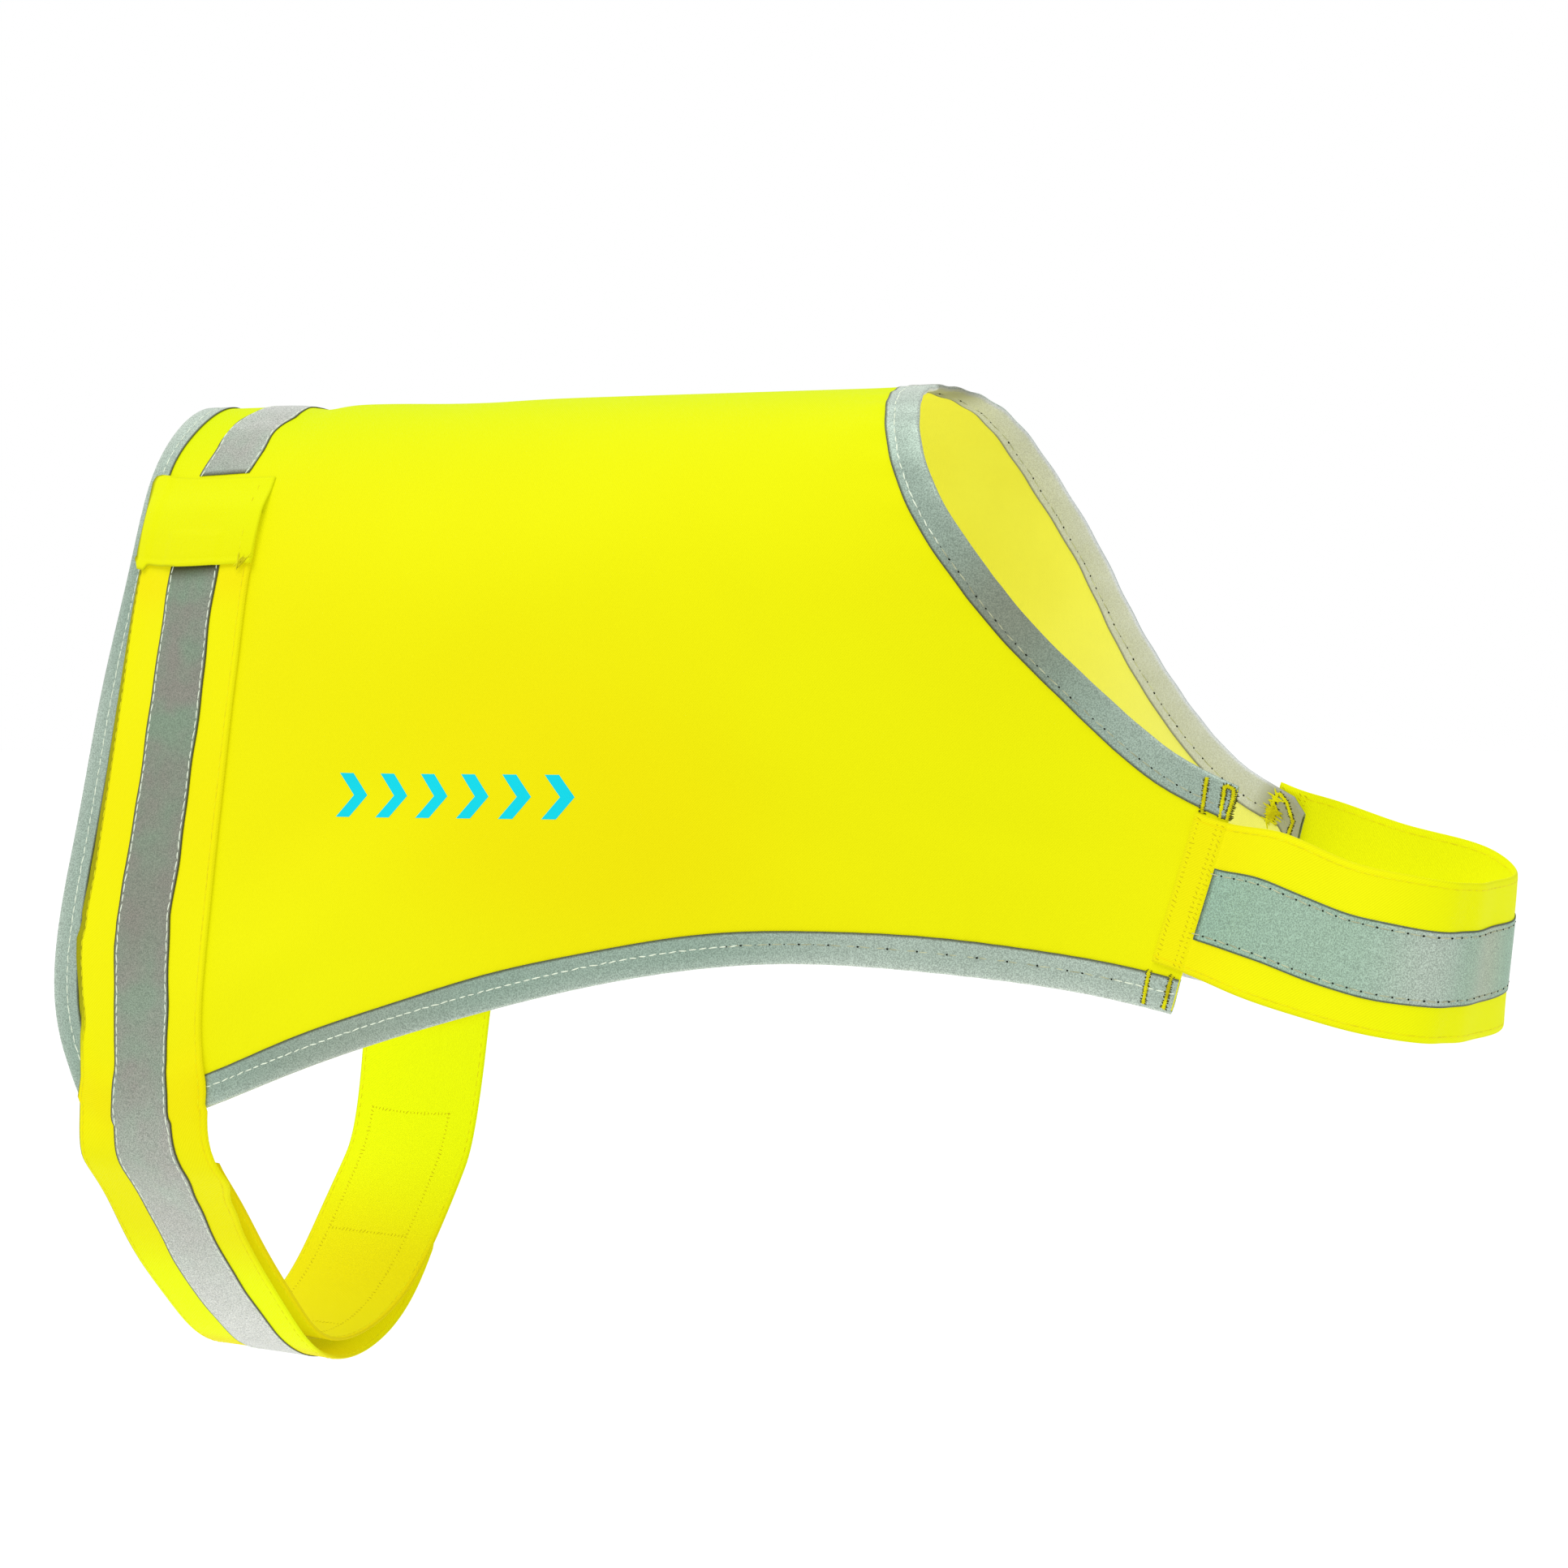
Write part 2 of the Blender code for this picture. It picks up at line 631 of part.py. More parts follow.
def chest_root(side, depths, lift):
    """The strap's sewn end: its inner end on the panel, then where it leaves the front edge."""
    places = []
    for depth in depths:
        x = front_line_x(depth)
        places.append((x, askew(x, side * math.sqrt(depth))))
    edge = on_form(*places[1]) - on_form(*places[0])
    edge /= np.linalg.norm(edge)
    leaving = [on_form(*place, lift) for place in places]
    inner = []
    for place in places:
        inward = side * np.cross(normal_at(*place), edge)
        inner.append(on_form(*place_inward(place, inward, CHEST_OVERLAP), lift))
    return inner, leaving


def chest_strap():
    near = chest_root(-1, CHEST_NEAR_DEPTHS, ON_PANEL + BAND / 2 + CHEST_EASE)
    far = chest_root(1, CHEST_FAR_DEPTHS, ON_BINDING + BAND / 2 + CHEST_EASE)
    free = [(np.array(row[:3]), np.array(row[3:])) for row in CHEST]
    edges = np.array([*near, *free, *reversed(far)])
    middle = edges.mean(axis=1)
    runs = np.concatenate([[0], np.cumsum(np.linalg.norm(np.diff(middle, axis=0), axis=1))])
    band = natural_spline(runs, edges.reshape(len(edges), 6))
    points = []
    for run in np.linspace(0, runs[-1], CHEST_STATIONS):
        top, foot = band(run).reshape(2, 3)
        points.append([top + share * (foot - top) for share in CHEST_LINES])
    points = np.array(points)
    normals = np.cross(np.gradient(points, axis=1), np.gradient(points, axis=0))
    normals /= np.linalg.norm(normals, axis=2, keepdims=True)
    front = len(points) // 2
    if normals[front, 0, 0] < 0:
        normals = -normals
    wall("chest_strap", points, normals, BAND, "yellow webbing cloth")
    skipped = math.ceil(CHEST_TAPE_MARGIN / (runs[-1] / (CHEST_STATIONS - 1)))
    kept = slice(skipped, CHEST_STATIONS - skipped)
    strip = laid_on(points[kept], normals[kept], CHEST_LINES, CHEST_LINES[1:3], BAND / 2 + GAP + TAPE / 2)
    wall("chest_tape", *strip, TAPE, "reflective tape")


def build():
    for old in list(bpy.data.objects):
        bpy.data.objects.remove(old, do_unlink=True)
    back_panel()
    neck_binding()
    edge_binding()
    girth_pieces()
    back_tape()
    strap_cover()
    chest_strap()


build()
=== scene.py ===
"""Reflective dog vest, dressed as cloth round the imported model.

Sizes are millimetres until a mesh is made. +X points to the wearer's head, +Y to its left and +Z up, with the
origin under the back panel's ridge. The wearer's right is the near side (-Y).
"""

from __future__ import annotations

import logging
import math
from collections.abc import Callable, Sequence
from dataclasses import dataclass, field
from enum import Enum
from typing import NamedTuple

import bmesh
import bpy
import numpy as np
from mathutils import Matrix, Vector

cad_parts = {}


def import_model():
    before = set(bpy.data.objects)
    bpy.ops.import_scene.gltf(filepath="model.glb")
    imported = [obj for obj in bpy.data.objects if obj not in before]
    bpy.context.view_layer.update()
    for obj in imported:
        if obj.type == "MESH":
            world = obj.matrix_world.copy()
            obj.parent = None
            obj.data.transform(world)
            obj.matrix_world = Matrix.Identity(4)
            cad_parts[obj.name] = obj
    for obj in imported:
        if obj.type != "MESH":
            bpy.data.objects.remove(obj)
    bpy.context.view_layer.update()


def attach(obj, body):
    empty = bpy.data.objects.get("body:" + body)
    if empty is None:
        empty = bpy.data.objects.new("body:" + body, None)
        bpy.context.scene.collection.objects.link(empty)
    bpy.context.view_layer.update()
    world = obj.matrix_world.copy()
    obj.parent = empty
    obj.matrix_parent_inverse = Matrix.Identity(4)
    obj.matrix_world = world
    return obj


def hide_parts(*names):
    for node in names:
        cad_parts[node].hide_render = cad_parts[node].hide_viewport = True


LOG = logging.getLogger("vest")
MM = 0.001
Array = np.ndarray
Piece = bpy.types.Object
Socket = bpy.types.NodeSocket
Tree = bpy.types.NodeTree


class Side(Enum):
    """A side of the wearer, by the sign of Y."""

    NEAR = -1
    FAR = 1


class Slot(Enum):
    """Material slots of the record."""

    PANEL = "panel_cloth"
    STRAP = "strap_cloth"
    TAPE = "reflective_tape"
    FASTENER = "touch_fastener"


# --- stock ---

PANEL_WALL = 0.9
BINDING_WALL = 0.45
BAND_WALL = 1.5  # a strap is cloth turned in on itself
TAPE_WALL = 0.4
TAPE_WIDTH = 25.0
FASTENER_WALL = 0.9
FASTENER_WIDTH = 38.0
# The cover patch's flat size, and how much shorter two of the tapes are than their straps.
COVER_CUT = (64.0, 34.0)
NEAR_TAPE_SHORT, CHEST_TAPE_SHORT = 10.0, 25.0
SEAM = 0.06  # air between layers that are sewn together

ON_PANEL = PANEL_WALL / 2 + SEAM
ON_BINDING = ON_PANEL + BINDING_WALL + SEAM


# --- curves ---


def smooth(low: float, high: float, at: Array | float) -> Array:
    """0 up to low, 1 from high on, and a smooth step between."""
    share = np.clip((np.asarray(at, float) - low) / (high - low), 0.0, 1.0)
    return share * share * (3 - 2 * share)


def bump(centre: float, width: float, at: Array | float) -> Array:
    """A bell of height 1 about centre, which falls to a third at this width."""
    return np.exp(-(((np.asarray(at, float) - centre) / width) ** 2))


def unit(vectors: Array) -> Array:
    """The vectors at length 1."""
    return vectors / np.maximum(np.linalg.norm(vectors, axis=-1, keepdims=True), 1e-9)


def run_along(points: Array) -> Array:
    """Length along a row of points, at each of them."""
    return np.concatenate([[0.0], np.cumsum(np.linalg.norm(np.diff(points, axis=0), axis=1))])


def bells(rows: Sequence[tuple[float, float, float]], at: Array, origin: float = 0.0) -> Array:
    """The sum of bells, each given by its height, its centre counted from the origin, and its width."""
    return sum(height * bump(origin + centre, width, at) for height, centre, width in rows)


def table(kind: type, *rows: Sequence[float]) -> tuple:
    """Rows of numbers as rows of a kind with named columns."""
    return tuple(kind(*row) for row in rows)


def placed(name: str, data: bpy.types.ID) -> Piece:
    """A new object with this data, in the scene."""
    made = bpy.data.objects.new(name, data)
    bpy.context.scene.collection.objects.link(made)
    return made


def bend_matrix(knots: Array) -> Array:
    """The matrix from values at the knots to second derivatives there, for a natural cubic curve."""
    count = len(knots)
    span = np.diff(knots)
    system, right = np.eye(count), np.zeros((count, count))
    for i in range(1, count - 1):
        system[i, i - 1 : i + 2] = span[i - 1], 2 * (span[i - 1] + span[i]), span[i]
        right[i, i - 1 : i + 2] = 6 / span[i - 1], -6 / span[i - 1] - 6 / span[i], 6 / span[i]
    return np.linalg.solve(system, right)


def cubic(knots: Array, values: Array, bends: Array, at: Array) -> Array:
    """Values of natural cubic curves whose knots lie along the last axis of values and bends.

    Args:
        knots: the knots, rising.
        values: values at the knots, one row of them for each place in at.
        bends: second derivatives, in the same form.
        at: where the curves are read.

    Returns:
        One number for each place.
    """
    i = np.clip(np.searchsorted(knots, at) - 1, 0, len(knots) - 2)
    step = knots[i + 1] - knots[i]
    ahead, behind = knots[i + 1] - at, at - knots[i]

    def pick(numbers: Array, index: Array) -> Array:
        """The number at an index of each row."""
        return np.take_along_axis(numbers, index[..., None], axis=-1)[..., 0]

    low, high = pick(values, i), pick(values, i + 1)
    low_bend, high_bend = pick(bends, i), pick(bends, i + 1)
    return (
        (low_bend * ahead**3 + high_bend * behind**3) / (6 * step)
        + (low / step - low_bend * step / 6) * ahead
        + (high / step - high_bend * step / 6) * behind
    )


class Spline:
    """A natural cubic curve through numbers or points."""

    def __init__(self, knots: Sequence[float], values: Sequence) -> None:
        """Fits the curve.

        Args:
            knots: where the values lie, rising.
            values: a number or a row of numbers for each knot.
        """
        self.knots = np.asarray(knots, float)
        self.values = np.asarray(values, float)
        self.bends = bend_matrix(self.knots) @ self.values

    def __call__(self, at: Array | float) -> Array:
        """The curve's values, with a last axis of their own where each value is a row."""
        at = np.asarray(at, float)
        columns = np.atleast_2d(self.values.T)
        bends = np.atleast_2d(self.bends.T)
        read = [
            cubic(self.knots, *(np.broadcast_to(v, at.shape + v.shape) for v in pair), at)
            for pair in zip(columns, bends)
        ]
        return read[0] if self.values.ndim == 1 else np.stack(read, axis=-1)


# --- the hollow form and the cut ---


class Section(NamedTuple):
    """Half widths of the form at one station along the back, at the named depths below the ridge."""

    x: float
    w10: float
    w30: float
    w60: float
    w100: float
    w150: float
    w200: float
    w250: float


class Edge(NamedTuple):
    """A place on an edge of the panel, as it lies on the form."""

    depth: float
    x: float


class Dent(NamedTuple):
    """A soft trough (or, with a positive height, a ridge) in the panel: sizes are half lengths."""

    x: float
    around: float
    length: float
    width: float
    turn: float
    height: float


DEPTHS = (10, 30, 60, 100, 150, 200, 250)
SECTIONS = table(
    Section,
    (-165, 15.0, 28.0, 41.0, 55.0, 72.0, 84.0, 87.0),
    (-120, 22.5, 38.5, 53.5, 64.0, 76.5, 87.0, 91.0),
    (-40, 27.0, 43.0, 57.0, 67.0, 77.5, 86.0, 89.0), (60, 31.0, 46.0, 57.0, 63.0, 69.0, 73.0, 75.0),
    (149, 32.5, 45.5, 52.0, 52.5, 52.0, 52.0, 52.0),
    (185, 31.0, 43.0, 46.0, 44.5, 43.0, 42.0, 42.0),
    (225, 27.0, 35.5, 35.0, 31.5, 30.0, 30.5, 31.0),
    (265, 22.0, 27.5, 26.5, 23.5, 24.0, 29.0, 31.0),
)
REAR_EDGE = table(
    Edge,
    (0, -152.0), (25, -158.0), (60, -156.5), (100, -159.0), (150, -159.0), (190, -160.5),
    (225, -155.0), (243, -146.0),
)
NECK_EDGE = table(
    Edge,
    (0, 151.3), (5, 157.8), (23, 168.7), (42, 180.6), (58, 192.2), (80, 208.7), (99, 226.6),
    (115, 244.0), (126, 260.5), (132.2, 274.0),
)
HEM_EDGE = table(
    Edge,
    (243, -146.0), (250, -129.0), (249, -110.0), (243, -90.0), (230, -56.0), (209.5, 7.0),
    (194.5, 69.0), (188.5, 122.0), (190, 162.0), (196.5, 214.0), (204, 254.5),
)
DENTS = table(
    Dent,
    (10, -120, 70, 26, 0.35, -1.6), (-45, -165, 60, 16, 0.55, -1.1), (60, -70, 60, 22, 0.1, 0.9),
    (120, -150, 46, 12, -0.35, -1.0), (196, -150, 34, 8, -0.15, -0.8),
    (-92, -95, 26, 10, 1.25, -0.9), (-96, 0, 24, 9, 1.5, -1.5), (-70, -215, 34, 9, 0.6, 0.8),
    (105, -95, 34, 10, -0.9, -0.8), (150, -30, 22, 9, 0.9, 0.7), (20, 115, 62, 22, -0.3, -1.7),
    (-50, 170, 50, 14, -0.5, -1.2), (90, 80, 52, 18, -0.15, 1.0), (130, 145, 40, 11, 0.4, -1.1),
    (-95, 110, 24, 10, -1.2, -0.9), (200, 140, 30, 9, 0.2, -0.7), (-36, 0, 26, 16, 0.0, -0.9),
    (194, -77, 8, 2.2, 0.61, 0.8),
)


@dataclass(frozen=True)
class Form:
    """The hollow form that the vest keeps, and the cut of the panel on it.

    A place on the form is x and a root: the square root of its depth below the ridge, which is
    negative on the near side.
    """

    ridge_slope: float = 0.0373
    ridge_lift: float = 0.6
    far_drop: float = 8.5
    far_drop_span: tuple[float, float] = (155.0, 290.0)
    far_rise: float = 0.05
    far_rise_span: tuple[float, float] = (20.0, 150.0)
    pucker: float = 0.28
    pucker_pitch: float = 9.5
    sections: Spline = field(
        default_factory=lambda: Spline([s.x for s in SECTIONS], [(0.0, *s[1:]) for s in SECTIONS])
    )
    rear: Spline = field(default_factory=lambda: over_the_ridge(REAR_EDGE))
    neck: Spline = field(default_factory=lambda: over_the_ridge(NECK_EDGE))
    hem: Spline = field(default_factory=lambda: Spline([e.x for e in HEM_EDGE], [e.depth for e in HEM_EDGE]))

    @property
    def corner_row(self) -> float:
        """The row of the corner where the neck's edge meets the front edge."""
        return math.sqrt(NECK_EDGE[-1].depth / HEM_EDGE[-1].depth)

    def ridge_z(self, x: Array | float) -> Array | float:
        """Height of the ridge."""
        return self.ridge_lift + self.ridge_slope * x

    def half_width(self, x: Array, root: Array) -> Array:
        """Half width of the bare form."""
        knots = np.sqrt(np.array((0.0, *DEPTHS)))
        values = self.sections(x)
        bends = values @ bend_matrix(knots).T
        return cubic(knots, values, bends, np.abs(root))

    def bare(self, x: Array, root: Array) -> Array:
        """The form's points with no fold in them."""
        x, root = np.broadcast_arrays(np.asarray(x, float), np.asarray(root, float))
        width = np.copysign(self.half_width(x, root), root)
        return np.stack([x, width, self.ridge_z(x) - root * root], axis=-1)

    def slopes(self, x: Array, root: Array, step: float = 0.05) -> tuple[Array, Array]:
        """How the bare form's points move along x and along the root."""
        along = (self.bare(x + step, root) - self.bare(x - step, root)) / (2 * step)
        around = (self.bare(x, root + step) - self.bare(x, root - step)) / (2 * step)
        return along, around

    def normal(self, x: Array, root: Array) -> Array:
        """Outward unit normals of the bare form."""
        along, around = self.slopes(x, root)
        outward = unit(np.cross(around, along))
        sideways = np.where(root < 0, -1.0, 1.0)
        guide = np.stack([np.zeros_like(root), sideways, np.full_like(root, 0.5)], axis=-1)
        return outward * np.where((outward * guide).sum(axis=-1, keepdims=True) > 0, 1.0, -1.0)

    def around(self, x: Array, root: Array) -> Array:
        """About how far from the ridge a place lies, negative on the near side."""
        return np.sign(root) * np.hypot(self.half_width(x, root), root * root)

    def relief(self, x: Array, root: Array) -> Array:
        """How far the folds and puckers raise the cloth."""
        around = self.around(x, root)
        total = np.zeros_like(around)
        for dent in DENTS:
            c, s = math.cos(dent.turn), math.sin(dent.turn)
            dx, da = x - dent.x, around - dent.around
            along, across = dx * c + da * s, da * c - dx * s
            wander = 0.25 * dent.width * np.sin(along / dent.length * 2.3 + dent.x)
            total += dent.height * bump(0, dent.length, along) * bump(0, dent.width, across + wander)
        depth = root * root
        hem_gap = np.maximum(self.hem(np.clip(x, -146, 254.5)) - depth, 0.0)
        neck_gap = np.maximum(self.neck(np.clip(np.abs(root), 0, 11.4)) - x, 0.0) * 0.75
        wave = np.sin(x * math.tau / self.pucker_pitch + 1.3 * np.sin(x / 17.0))
        wave = wave * (0.6 + 0.4 * np.sin(x / 23.0))
        run = np.sin(around * math.tau / (self.pucker_pitch * 1.1) + 1.1 * np.sin(around / 19.0))
        total += self.pucker * np.exp(-((np.maximum(hem_gap - 9, 0) / 7.0) ** 1.3)) * wave
        total += self.pucker * 0.8 * np.exp(-((np.maximum(neck_gap - 9, 0) / 6.0) ** 1.3)) * run
        return total

    def raised(self, x: Array, root: Array, lift: Array | float = 0.0) -> Array:
        """Points at a height above the cloth's middle, folds included."""
        x, root = np.broadcast_arrays(np.asarray(x, float), np.asarray(root, float))
        height = np.asarray(lift + self.relief(x, root))
        return self.bare(x, root) + height[..., None] * self.normal(x, root)

    def askew(self, x: Array, root: Array) -> Array:
        """The root at which a place of the cut lies: the far side hangs differently from the near side."""
        depth = root * root
        fall = self.far_drop * smooth(*self.far_drop_span, x)
        rise = self.far_rise * (1 - smooth(*self.far_rise_span, x))
        sag = np.maximum(np.sin(np.pi * depth / HEM_EDGE[-1].depth), 0.0)
        return np.where(root <= 0, root, np.sqrt(np.maximum(depth * (1 - rise) + fall * sag, 0.0)))

    def front(self, root: Array) -> Array:
        """The front edge's x: the neck down to its corner, then a straight line to the hem."""
        corner, hem = NECK_EDGE[-1], HEM_EDGE[-1]
        share = (root * root - corner.depth) / (hem.depth - corner.depth)
        straight = corner.x + share * (hem.x - corner.x)
        return np.where(root <= math.sqrt(corner.depth), self.neck(root), straight)

    def hem_root(self, column: Array) -> Array:
        """The hem's root at a column."""
        start, end = REAR_EDGE[-1].x, HEM_EDGE[-1].x
        return np.sqrt(self.hem(start + column * (end - start)))

    def ends(self, row: Array) -> tuple[Array, Array]:
        """x where a row meets the rear edge and where it meets the neck's edge or the front edge."""
        down = np.abs(row)
        rear = self.rear(down * math.sqrt(REAR_EDGE[-1].depth))
        return rear, self.front(down * math.sqrt(HEM_EDGE[-1].depth))

    def place(self, column: Array, row: Array) -> tuple[Array, Array]:
        """x and root at column 0 (rear) to 1 (front) and row -1 (near hem) to 1 (far hem)."""
        column, row = np.broadcast_arrays(np.asarray(column, float), np.asarray(row, float))
        rear, front = self.ends(row)
        x = (1 - column) * rear + column * front
        return x, self.askew(x, row * self.hem_root(column))

    def column(self, x: Array, row: Array) -> Array:
        """The column at which a row passes x."""
        rear, front = self.ends(row)
        return (x - rear) / (front - rear)

    def row_at(self, x: float, depth: float) -> float:
        """The row, on one side, at this depth."""
        row = 0.5
        for _ in range(12):
            row = float(math.sqrt(depth) / self.hem_root(self.column(x, row)))
        return row

    def root_at(self, x: Array, rows: Array) -> Array:
        """The root at which rows pass x, the far side askew."""
        return self.askew(x, rows * self.hem_root(self.column(x, rows)))

    def inward(
        self, x: Array, root: Array, direction: Array, distance: Array | float
    ) -> tuple[Array, Array]:
        """The places at a distance from others, along directions that lie in the form."""
        along, around = self.slopes(x, root)
        aa, ab, bb = ((u * v).sum(-1) for u, v in ((along, along), (along, around), (around, around)))
        da, db = (direction * along).sum(-1) * distance, (direction * around).sum(-1) * distance
        scale = aa * bb - ab * ab
        return x + (da * bb - db * ab) / scale, root + (db * aa - da * ab) / scale


def over_the_ridge(edge: Sequence[Edge]) -> Spline:
    """x along an edge that crosses the ridge squarely, over the root of the depth."""
    mirrored = [(-math.sqrt(e.depth), e.x) for e in reversed(edge[1:])]
    rows = mirrored + [(math.sqrt(e.depth), e.x) for e in edge]
    return Spline([r[0] for r in rows], [r[1] for r in rows])


# --- meshes ---


def make_object(
    name: str,
    points: Array,
    faces: Sequence[Sequence[int]],
    uv: Array,
    finishes: Sequence[Finish],
    back: Sequence[int] = (),
    marks: dict[str, Array] | None = None,
) -> Piece:
    """A closed, smooth-shaded mesh object that faces outwards.

    Args:
        name: the piece's name.
        points: corners in millimetres.
        faces: corner numbers of each face.
        uv: the cloth's own coordinates of each corner in millimetres.
        finishes: the finish that it wears, and the one of its back.
        back: the numbers of the faces that are the cloth's back.
        marks: numbers from 0 to 1 for each corner, by name, that a finish reads.

    Returns:
        The object, at the origin.
    """
    mesh = bpy.data.meshes.new(name)
    mesh.from_pydata((np.asarray(points) * MM).tolist(), [], faces)
    for finish in finishes:
        mesh.materials.append(finish.material())
    sides = np.zeros(len(faces), np.int32)
    sides[list(back)] = len(finishes) - 1
    mesh.polygons.foreach_set("material_index", sides)
    layer = mesh.uv_layers.new(name="cloth")
    corners = np.empty(len(mesh.loops), np.int32)
    mesh.loops.foreach_get("vertex_index", corners)
    layer.data.foreach_set("uv", (uv[corners] * MM).astype(np.float32).ravel())
    for mark, values in (marks or {}).items():
        mesh.attributes.new(mark, "FLOAT", "POINT").data.foreach_set("value", values.astype(np.float32))
    shape = bmesh.new()
    shape.from_mesh(mesh)
    bmesh.ops.recalc_face_normals(shape, faces=shape.faces)
    if shape.calc_volume(signed=True) < 0:
        bmesh.ops.reverse_faces(shape, faces=shape.faces)
    shape.to_mesh(mesh)
    shape.free()
    mesh.shade_smooth()
    mesh.set_sharp_from_angle(angle=math.radians(50))
    return placed(name, mesh)


def grid_faces(rows: int, columns: int, start: int, flip: bool = False) -> list[list[int]]:
    """Quads over a grid of corners that are numbered row by row."""
    faces = []
    for r in range(rows - 1):
        for c in range(columns - 1):
            i = start + r * columns + c
            quad = [i, i + 1, i + columns + 1, i + columns]
            faces.append(quad[::-1] if flip else quad)
    return faces


def wall_faces(rows: int, columns: int, start: int = 0) -> list[list[int]]:
    """Faces of a closed wall between two grids of corners: its outer face, its inner face, its rim."""
    count = rows * columns
    right, left = range(2 * columns - 1, count, columns), range(count - 2 * columns, 0, -columns)
    rim = [*range(columns), *right, *range(count - 2, count - columns - 1, -1), *left]
    faces = grid_faces(rows, columns, start) + grid_faces(rows, columns, start + count, True)
    for here, following in zip(rim, rim[1:] + rim[:1]):
        a, b = start + here, start + following
        faces.append([a, a + count, b + count, b])
    return faces


def shell(
    name: str, outer: Array, inner: Array, uv: Array, finishes: Sequence[Finish], **marks: Array
) -> Piece:
    """A wall between two grids of points, with its rim closed.

    Args:
        name: the piece's name.
        outer: the grid of its outer face.
        inner: the grid of its inner face.
        uv: the cloth's own coordinates over the grid.
        finishes: the finish of the wall, and where there is a second one, that of its inner face.
        marks: numbers from 0 to 1 over the grid, by name.

    Returns:
        The object.
    """
    rows, columns = outer.shape[:2]
    quads = (rows - 1) * (columns - 1)
    points = np.concatenate([outer.reshape(-1, 3), inner.reshape(-1, 3)])
    flat = np.concatenate([uv.reshape(-1, 2), uv.reshape(-1, 2)])
    doubled = {
        mark: np.tile(np.broadcast_to(grid, (rows, columns)).ravel(), 2) for mark, grid in marks.items()
    }
    faces, back = wall_faces(rows, columns), range(quads, 2 * quads)
    return make_object(name, points, faces, flat, finishes, back, doubled)


def tube(
    name: str, rings: Array, uv: Array, back: range, finishes: Sequence[Finish], **marks: Array
) -> Piece:
    """A closed profile swept through rings of points, with flat ends.

    Args:
        name: the piece's name.
        rings: the rings of points.
        uv: the cloth's own coordinates over the rings.
        back: the sides of the profile that wear the second finish.
        finishes: the two finishes.
        marks: numbers from 0 to 1 over the rings, by name.

    Returns:
        The object.
    """
    count, size = rings.shape[:2]
    faces = [list(range(size)), [(count - 1) * size + i for i in reversed(range(size))]]
    behind = []
    for r in range(count - 1):
        for i in range(size):
            j = (i + 1) % size
            if i in back:
                behind.append(len(faces))
            faces.append([r * size + i, r * size + j, (r + 1) * size + j, (r + 1) * size + i])
    flat = {mark: np.broadcast_to(grid, (count, size)).ravel() for mark, grid in marks.items()}
    return make_object(name, rings.reshape(-1, 3), faces, uv.reshape(-1, 2), finishes, behind, flat)


# --- finishes ---


def linear(colour: str) -> tuple[float, float, float, float]:
    """An sRGB hex colour as linear RGBA."""
    parts = [int(colour[i : i + 2], 16) / 255 for i in (1, 3, 5)]
    return (*[p / 12.92 if p <= 0.04045 else ((p + 0.055) / 1.055) ** 2.4 for p in parts], 1.0)


def add_node(
    tree: Tree, kind: str, links: dict | None = None, **settings: object
) -> bpy.types.Node:
    """Adds a node.

    Args:
        tree: the tree that it goes into.
        kind: its bl_idname.
        links: what feeds each input, by the input's name or number: an output socket or a constant.
        settings: the node's own properties.

    Returns:
        The node.
    """
    made = tree.nodes.new(kind)
    for name, value in settings.items():
        setattr(made, name, value)
    for key, value in (links or {}).items():
        socket = made.inputs[key]
        if isinstance(value, Socket):
            tree.links.new(value, socket)
        else:
            socket.default_value = value
    return made


